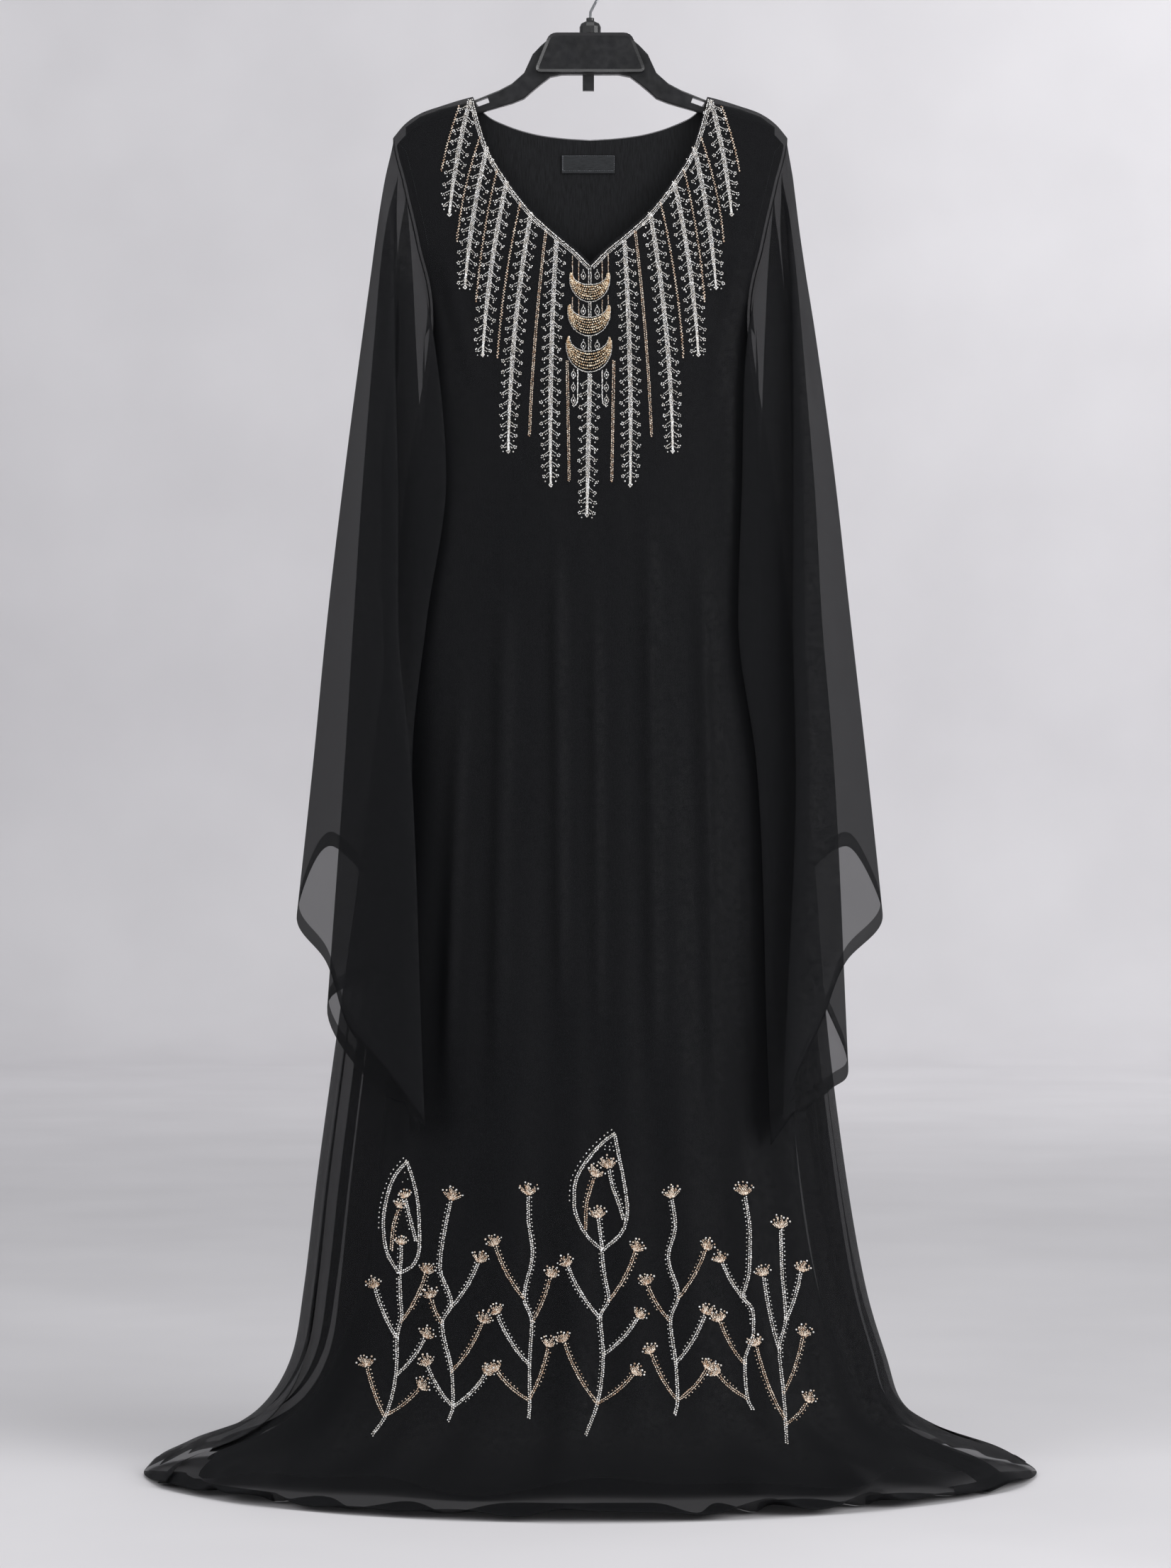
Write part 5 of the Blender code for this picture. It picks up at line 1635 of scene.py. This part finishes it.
def flower(root, aim, size):
    """A fan of petals; each is a pair of thin long beads with a round one at its tip."""
    beads = sprig_champagne
    for k, angle in enumerate(np.radians(PETAL_TURNS)):
        petal = turned(aim, angle + beads.random.normal(0.0, 0.05))
        aside = np.array((petal[1], -petal[0]))
        reach = size * beads.random.uniform(*PETAL_REACH) * (1.0 - SIDE_SHORTER * abs(angle))
        for step, place in enumerate(np.arange(PETAL_FIRST, reach - 2.0, PETAL_PITCH)):
            spread = aside * PETAL_SPREAD * min(1.0, place / 8.0)
            beads.bead(root + petal * place + spread, PETAL_BEAD, PETAL_LONG, petal)
            if step > 0:
                spot = root + petal * (place - 1.4) - spread
                beads.bead(spot, PETAL_BEAD, PETAL_LONG, petal)
        TONES[k % 2].bead(root + petal * reach, PETAL_TIP)


def end_in_flower(path, back, size):
    """A flower that goes on in the direction of a path's last few points."""
    aim = path[-1] - path[-back]
    flower(path[-1], aim / np.hypot(*aim), size)


def branch(root, across, rise, tone):
    """A branch that leaves sideways and curls upwards, with its flower."""
    t = np.linspace(0.0, 1.0, 30)[:, None]
    rise = rise - FLOWER_ROOM
    hip = root + np.array((HANDLE[0] * across, HANDLE[1] * rise))
    tip = root + np.array((across, -rise))
    path = root * (1.0 - t) ** 2 + hip * 2.0 * t * (1.0 - t) + tip * t**2
    stem(path, tone)
    end_in_flower(path, 7, 0.95)


print("petals of a flower:", len(PETAL_TURNS))

# %% [markdown]
# ## Leaves
# Two of the sprigs end in a leaf with three flowers inside. A leaf is two stems that meet in a
# point, with a dotted row outside. Its outline can't be a rule, because the two leaves lean and
# swell differently, so each has its own few points.

# %% Leaves
DOTTED_SHARE = 0.62
DOTTED_PITCH = 6.8
DOTTED_ASIDE = 6.6
DOT = 2.0
# A leaf's left and right outline from its top to its base, loose beads, and the stems inside
SMALL_LEAF = (
    [(574, 1639), (557, 1660), (546, 1690), (541, 1727), (546, 1767), (563, 1798)],
    [(574, 1639), (583, 1666), (591, 1712), (592, 1757), (584, 1784), (563, 1798)],
    [(571, 1655), (575, 1664), (568, 1668)],
    [
        ([(563, 1798), (566, 1780), (566, 1758)], SILVER, 0.75),
        ([(552, 1764), (555, 1730), (562, 1706)], CHAMPAGNE, 0.7),
        ([(587, 1752), (579, 1721), (572, 1692)], SILVER, 0.7),
    ],
)
BIG_LEAF = (
    [(867, 1600), (850, 1613), (827, 1639), (812, 1668), (810, 1698), (827, 1743), (850, 1765)],
    [(867, 1600), (872, 1626), (878, 1655), (883, 1685), (885, 1708), (878, 1738), (850, 1765)],
    [(854, 1617), (853, 1622), (862, 1613), (860, 1618), (860, 1623), (865, 1618), (866, 1624)],
    [
        ([(850, 1765), (847, 1744), (844, 1720)], SILVER, 1.0),
        ([(826, 1735), (827, 1702), (831, 1684), (838, 1662)], CHAMPAGNE, 1.0),
        ([(880, 1722), (872, 1696), (863, 1671), (859, 1650)], SILVER, 1.0),
    ],
)


def leaf(left, right, dots, stems):
    """A leaf: two outlines that meet in a point, a dotted row outside, and flowers inside."""
    left = fair_curve(left)
    stem(left, SILVER, beside=False)
    stem(fair_curve(right), SILVER, beside=False)
    dotted = left[: int(DOTTED_SHARE * len(left))]
    sprig_silver.row(dotted, DOTTED_PITCH, DOT, long=1.2, offset=-DOTTED_ASIDE)
    for spot in dots:
        sprig_silver.bead(spot, DOT)
    for path, tone, size in stems:
        path = fair_curve(path)
        stem(path, tone)
        end_in_flower(path, 9, size)


print("stems inside a leaf:", len(BIG_LEAF[-1]))

# %% [markdown]
# ## Sprigs on the left
# Each sprig has a stem and branches that leave it by turns to the left and right, and ends in a
# flower or a leaf. The table gives the stem's points and, for each branch, how far up the stem it
# leaves, how far it goes across and up, and which bead it uses. They are read from the photograph:
# no two sprigs are alike, so copies of one would look printed.

# %% Sprigs on the left
LEFT_SPRIGS = (
    (
        [
            (525, 2026), (544, 1998), (559, 1936), (561, 1882), (567, 1857), (565, 1830),
            (564, 1800),
        ],
        [
            (0.14, -25, 77, CHAMPAGNE), (0.15, 47, 44, CHAMPAGNE), (0.40, 41, 59, SILVER),
            (0.62, -31, 77, SILVER), (0.73, 35, 74, CHAMPAGNE),
        ],
        SMALL_LEAF,
    ),
    (
        [
            (632, 2006), (639, 1986), (637, 1934), (624, 1867), (637, 1840), (621, 1788),
            (628, 1735), (636, 1695),
        ],
        [
            (0.07, -35, 64, SILVER), (0.07, 45, 52, SILVER), (0.23, 43, 74, CHAMPAGNE),
            (0.44, -15, 42, CHAMPAGNE), (0.52, 39, 70, SILVER),
        ],
        None,
    ),
    (
        [
            (746, 2002), (747, 1980), (747, 1926), (750, 1865), (739, 1832), (751, 1768),
            (745, 1718), (745, 1688),
        ],
        [
            (0.08, -45, 48, CHAMPAGNE), (0.09, 26, 78, CHAMPAGNE), (0.24, -45, 78, SILVER),
            (0.43, 26, 70, CHAMPAGNE), (0.54, -40, 80, CHAMPAGNE),
        ],
        None,
    ),
)
print("sprigs on the left:", len(LEFT_SPRIGS))

# %% [markdown]
# ## Sprigs in the middle and on the right
# The middle sprig is the tallest and ends in the big leaf. The table reads as the one above.

# %% Sprigs in the middle and on the right
RIGHT_SPRIGS = (
    (
        [
            (826, 2026), (843, 1979), (851, 1911), (847, 1859), (859, 1833), (853, 1800),
            (849, 1765),
        ],
        [
            (0.18, -46, 92, CHAMPAGNE), (0.18, 50, 47, CHAMPAGNE), (0.44, 48, 58, SILVER),
            (0.63, -45, 80, SILVER), (0.74, 37, 76, CHAMPAGNE),
        ],
        BIG_LEAF,
    ),
    (
        [
            (952, 1997), (956, 1976), (953, 1921), (946, 1864), (957, 1828), (943, 1775),
            (953, 1730), (948, 1692),
        ],
        [
            (0.07, -37, 72, CHAMPAGNE), (0.07, 40, 50, CHAMPAGNE), (0.24, 41, 75, SILVER),
            (0.43, -32, 58, CHAMPAGNE), (0.54, 38, 74, CHAMPAGNE),
        ],
        None,
    ),
    (
        [
            (1062, 1990), (1055, 1975), (1051, 1921), (1063, 1880), (1062, 1850), (1049, 1829),
            (1057, 1795), (1058, 1739), (1051, 1688),
        ],
        [
            (0.06, -41, 40, CHAMPAGNE), (0.22, -35, 66, CHAMPAGNE), (0.50, -38, 66, SILVER),
        ],
        None,
    ),
    (
        [
            (1110, 2038), (1108, 2008), (1105, 1965), (1099, 1904), (1108, 1860), (1103, 1796),
            (1101, 1735),
        ],
        [
            (0.10, 29, 38, CHAMPAGNE), (0.12, -40, 110, CHAMPAGNE), (0.24, 27, 86, CHAMPAGNE),
            (0.44, -22, 110, SILVER), (0.58, 22, 76, SILVER),
        ],
        None,
    ),
)
print("sprigs in the middle and on the right:", len(RIGHT_SPRIGS))

# %% [markdown]
# ## Sewing the sprigs
# One loop sews every sprig by its row of a table: first the stem, then the branches from it, then
# the leaf or the flower at its end. The silver and the champagne beads become a mesh each, because
# a mesh here has one finish.

# %% Sewing the sprigs
for points, branches, leaf_shape in LEFT_SPRIGS + RIGHT_SPRIGS:
    main = fair_curve(points)
    stem(main, SILVER)
    for share, across, rise, tone in branches:
        branch(main[int(share * (len(main) - 1))], across, rise, tone)
    if leaf_shape:
        leaf(*leaf_shape)
    else:
        end_in_flower(main, 6, 1.1)
sprig_silver.sew("sprigs_silver", silver_beads, sewing_cloth)
sprig_champagne.sew("sprigs_champagne", champagne_beads, sewing_cloth)

# %% [markdown]
# ## Label
# The label is a strip of woven satin, sewn to the back of the neck along all four edges. Its solid
# has the right shape and gets a finish whose fine lines run across, because its weft lies on top.
# The real lines are about 0.2 mm apart; they are drawn 0.6 mm, so that they show.

# %% Label
PICK_WIDTH = 0.0006
PICK_SHARE = 0.12
woven = new_finish("woven label satin", {"Roughness": 0.55, "Specular IOR Level": 0.35})
add_grain(
    woven,
    PICK_WIDTH,
    colours=("#17191b", "#26282b"),
    roughness=(0.45, 0.65),
    relief=(0.0002, 0.4),
    stretch=(PICK_SHARE, 1, 1),
)
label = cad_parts["label"]
label.data.materials[0] = woven
print("label is", woven.name)

# %% [markdown]
# ## Stitches
# The label is sewn down with a lighter thread. Black stitches show as a faint line below the back
# neckline and along the seams of the armholes. Spun thread is matt, with a twist of two tones that
# is drawn 0.8 mm wide. A stitch is a long bead of thread here, so the same function sews it.

# %% Stitches
THREAD_TWIST = 0.0008
LABEL_EDGE = [(794.5, 220), (866.5, 220), (866.5, 241), (794.5, 241), (794.5, 220)]
BACK_NECK_LINE = [
    (684, 169), (711, 184), (754, 195), (797, 199), (840, 204), (883, 199), (926, 189), (969, 169),
]
ARMHOLE_LINE = [(1104, 202), (1093, 214), (1077, 280), (1068, 316), (1062, 345)]
# Pitch, width and length of a stitch
LABEL_STITCH = (2.6, 0.8, 1.9)
SEAM_STITCH = (3.0, 0.9, 2.0)
LABEL_BAR = [(793.4, 219), (793.4, 242)]


def thread_finish(name, dark, light):
    """Spun polyester thread: a matt twist in two tones."""
    finish = new_finish(name, {"Roughness": 0.7, "Specular IOR Level": 0.3})
    add_grain(finish, THREAD_TWIST, colours=(dark, light), roughness=(0.6, 0.8))
    return finish


bright_thread = thread_finish("bright sewing thread", "#55575b", "#83858a")
black_thread = thread_finish("black sewing thread", "#0c0c0e", "#26272b")
pitch, width, long = LABEL_STITCH
label_stitches = Beading(seed=10)
label_stitches.row(LABEL_EDGE, pitch, width, long=long)
label_stitches.row(LABEL_BAR, 1.3, 0.9, long=1.3)
label_stitches.sew("label_stitches", bright_thread, cloth_tree(label), wander=0.0)
pitch, width, long = SEAM_STITCH
neck_stitches = Beading(seed=11)
neck_stitches.row(BACK_NECK_LINE, pitch, width, long=long)
neck_stitches.sew("neck_stitches", black_thread, cloth_tree(back_cloth), wander=0.0)
armhole_stitches = Beading(seed=12)
armhole_stitches.row(ARMHOLE_LINE, pitch, width, long=long)
armhole_stitches.row(mirrored(ARMHOLE_LINE), pitch, width, long=long)
armhole_stitches.sew("armhole_stitches", black_thread, sewing_cloth, wander=0.0)

# %% [markdown]
# ## Studio paper
# The picture is a plain pale room: matt paper that runs from the floor up the wall in one sweep. A
# floor and a wall would meet in a line, and a bend hides it. The paper hangs well behind, so that
# a camera can walk round the kaftan in front of it and see the back too.

# %% Studio paper
SWEEP_FRONT = -7.0
SWEEP_BACK = 6.6
SWEEP_ROUND = 0.9
SWEEP_HALF = 8.0
SWEEP_UP = 6.0
PAPER_CLOUD = 0.4
paper = new_finish("matt studio paper", {"Roughness": 0.95, "Specular IOR Level": 0.1})
add_grain(paper, PAPER_CLOUD, colours=("#dcdadd", "#e2e0e3"))
profile = [(SWEEP_FRONT, 0.0)]
for turn in np.radians(np.linspace(0.0, 90.0, 13)):
    bend_up = SWEEP_ROUND * (1.0 - math.cos(turn))
    profile.append((SWEEP_BACK + SWEEP_ROUND * math.sin(turn), bend_up))
profile.append((SWEEP_BACK + SWEEP_ROUND, SWEEP_UP))
sweep_points = np.array([[(x, y, up) for y, up in profile] for x in (-SWEEP_HALF, SWEEP_HALF)])
sweep = cloth_object("studio_sweep", sweep_points, paper)

# %% [markdown]
# ## Lights
# Large area lights give the soft edges of shadow that the photograph shows, where small ones would
# cut them sharp. One hangs overhead and two stand in front, the right one brighter. The paper is
# too far behind for them to reach evenly, so two more lights wash the paper alone.

# %% Lights
def soft_light(name, place, aim, size, watts):
    """A square area light that faces a point; places are above the floor."""
    lamp = bpy.data.lights.new(name, "AREA")
    lamp.size = size
    lamp.energy = watts
    light = bpy.data.objects.new(name, lamp)
    bpy.context.scene.collection.objects.link(light)
    light.location = Vector(place) - Vector((0.0, 0.0, HOOK_CROWN_UP))
    direction = Vector(aim) - Vector(place)
    light.rotation_euler = direction.to_track_quat("-Z", "Y").to_euler()
    print(f"{name}: {watts} W, {size} m wide")


soft_light("overhead", (0.0, -0.6, 3.6), (0.0, 0.2, 0.6), 3.0, 50)
soft_light("left front", (-3.0, -3.0, 2.4), (0.0, 0.0, 0.8), 2.2, 46)
soft_light("right front", (3.2, -2.6, 2.2), (0.0, 0.0, 0.8), 2.2, 116)
soft_light("left wall", (-1.8, 4.6, 3.9), (-1.7, 7.5, 2.3), 1.6, 27)
soft_light("right wall", (2.6, 4.6, 3.9), (2.6, 7.5, 1.2), 1.6, 82)

# %% [markdown]
# ## Air of the studio
# In a real room the walls send back some light from all sides. A pale, weak world stands for them
# and keeps the blacks of the cloth from closing up.

# %% Air of the studio
AIR_STRENGTH = 0.35
world = bpy.data.worlds.new("studio air")
world.use_nodes = True
background = world.node_tree.nodes["Background"]
background.inputs["Color"].default_value = hex_colour("#eef0f3")
background.inputs["Strength"].default_value = AIR_STRENGTH
bpy.context.scene.world = world
print("air:", AIR_STRENGTH)

# %% [markdown]
# ## The cut of the cloth
# A garment is cut flat, so each sheet is listed with the width and length of the cloth that it
# takes, and the area that its shaped piece leaves of that rectangle. These values are not used;
# only each sheet's own area is printed. For the georgette they are the lengths printed above,
# round the folds. Both linings are listed with the width of the back one's hem, which is 5 cm
# less than the front one's.

# %% The cut of the cloth
for cloth, flat, share, rests in (
    (front_cloth, (1.53, 1.72), 0.39, ["hanger_arms"]),
    (back_cloth, (1.54, 1.56), 0.41, ["hanger_arms"]),
    (lining_front, (0.95, 1.50), 0.50, ["hanger_arms"]),
    (lining_back, (0.95, 1.50), 0.50, ["hanger_arms"]),
    (left_cloth, (0.92, 1.02), 0.37, ["georgette_front"]),
    (right_cloth, (0.85, 1.02), 0.40, ["georgette_front"]),
):
    print(cloth.name, "area", round(sum(p.area for p in cloth.data.polygons), 3))
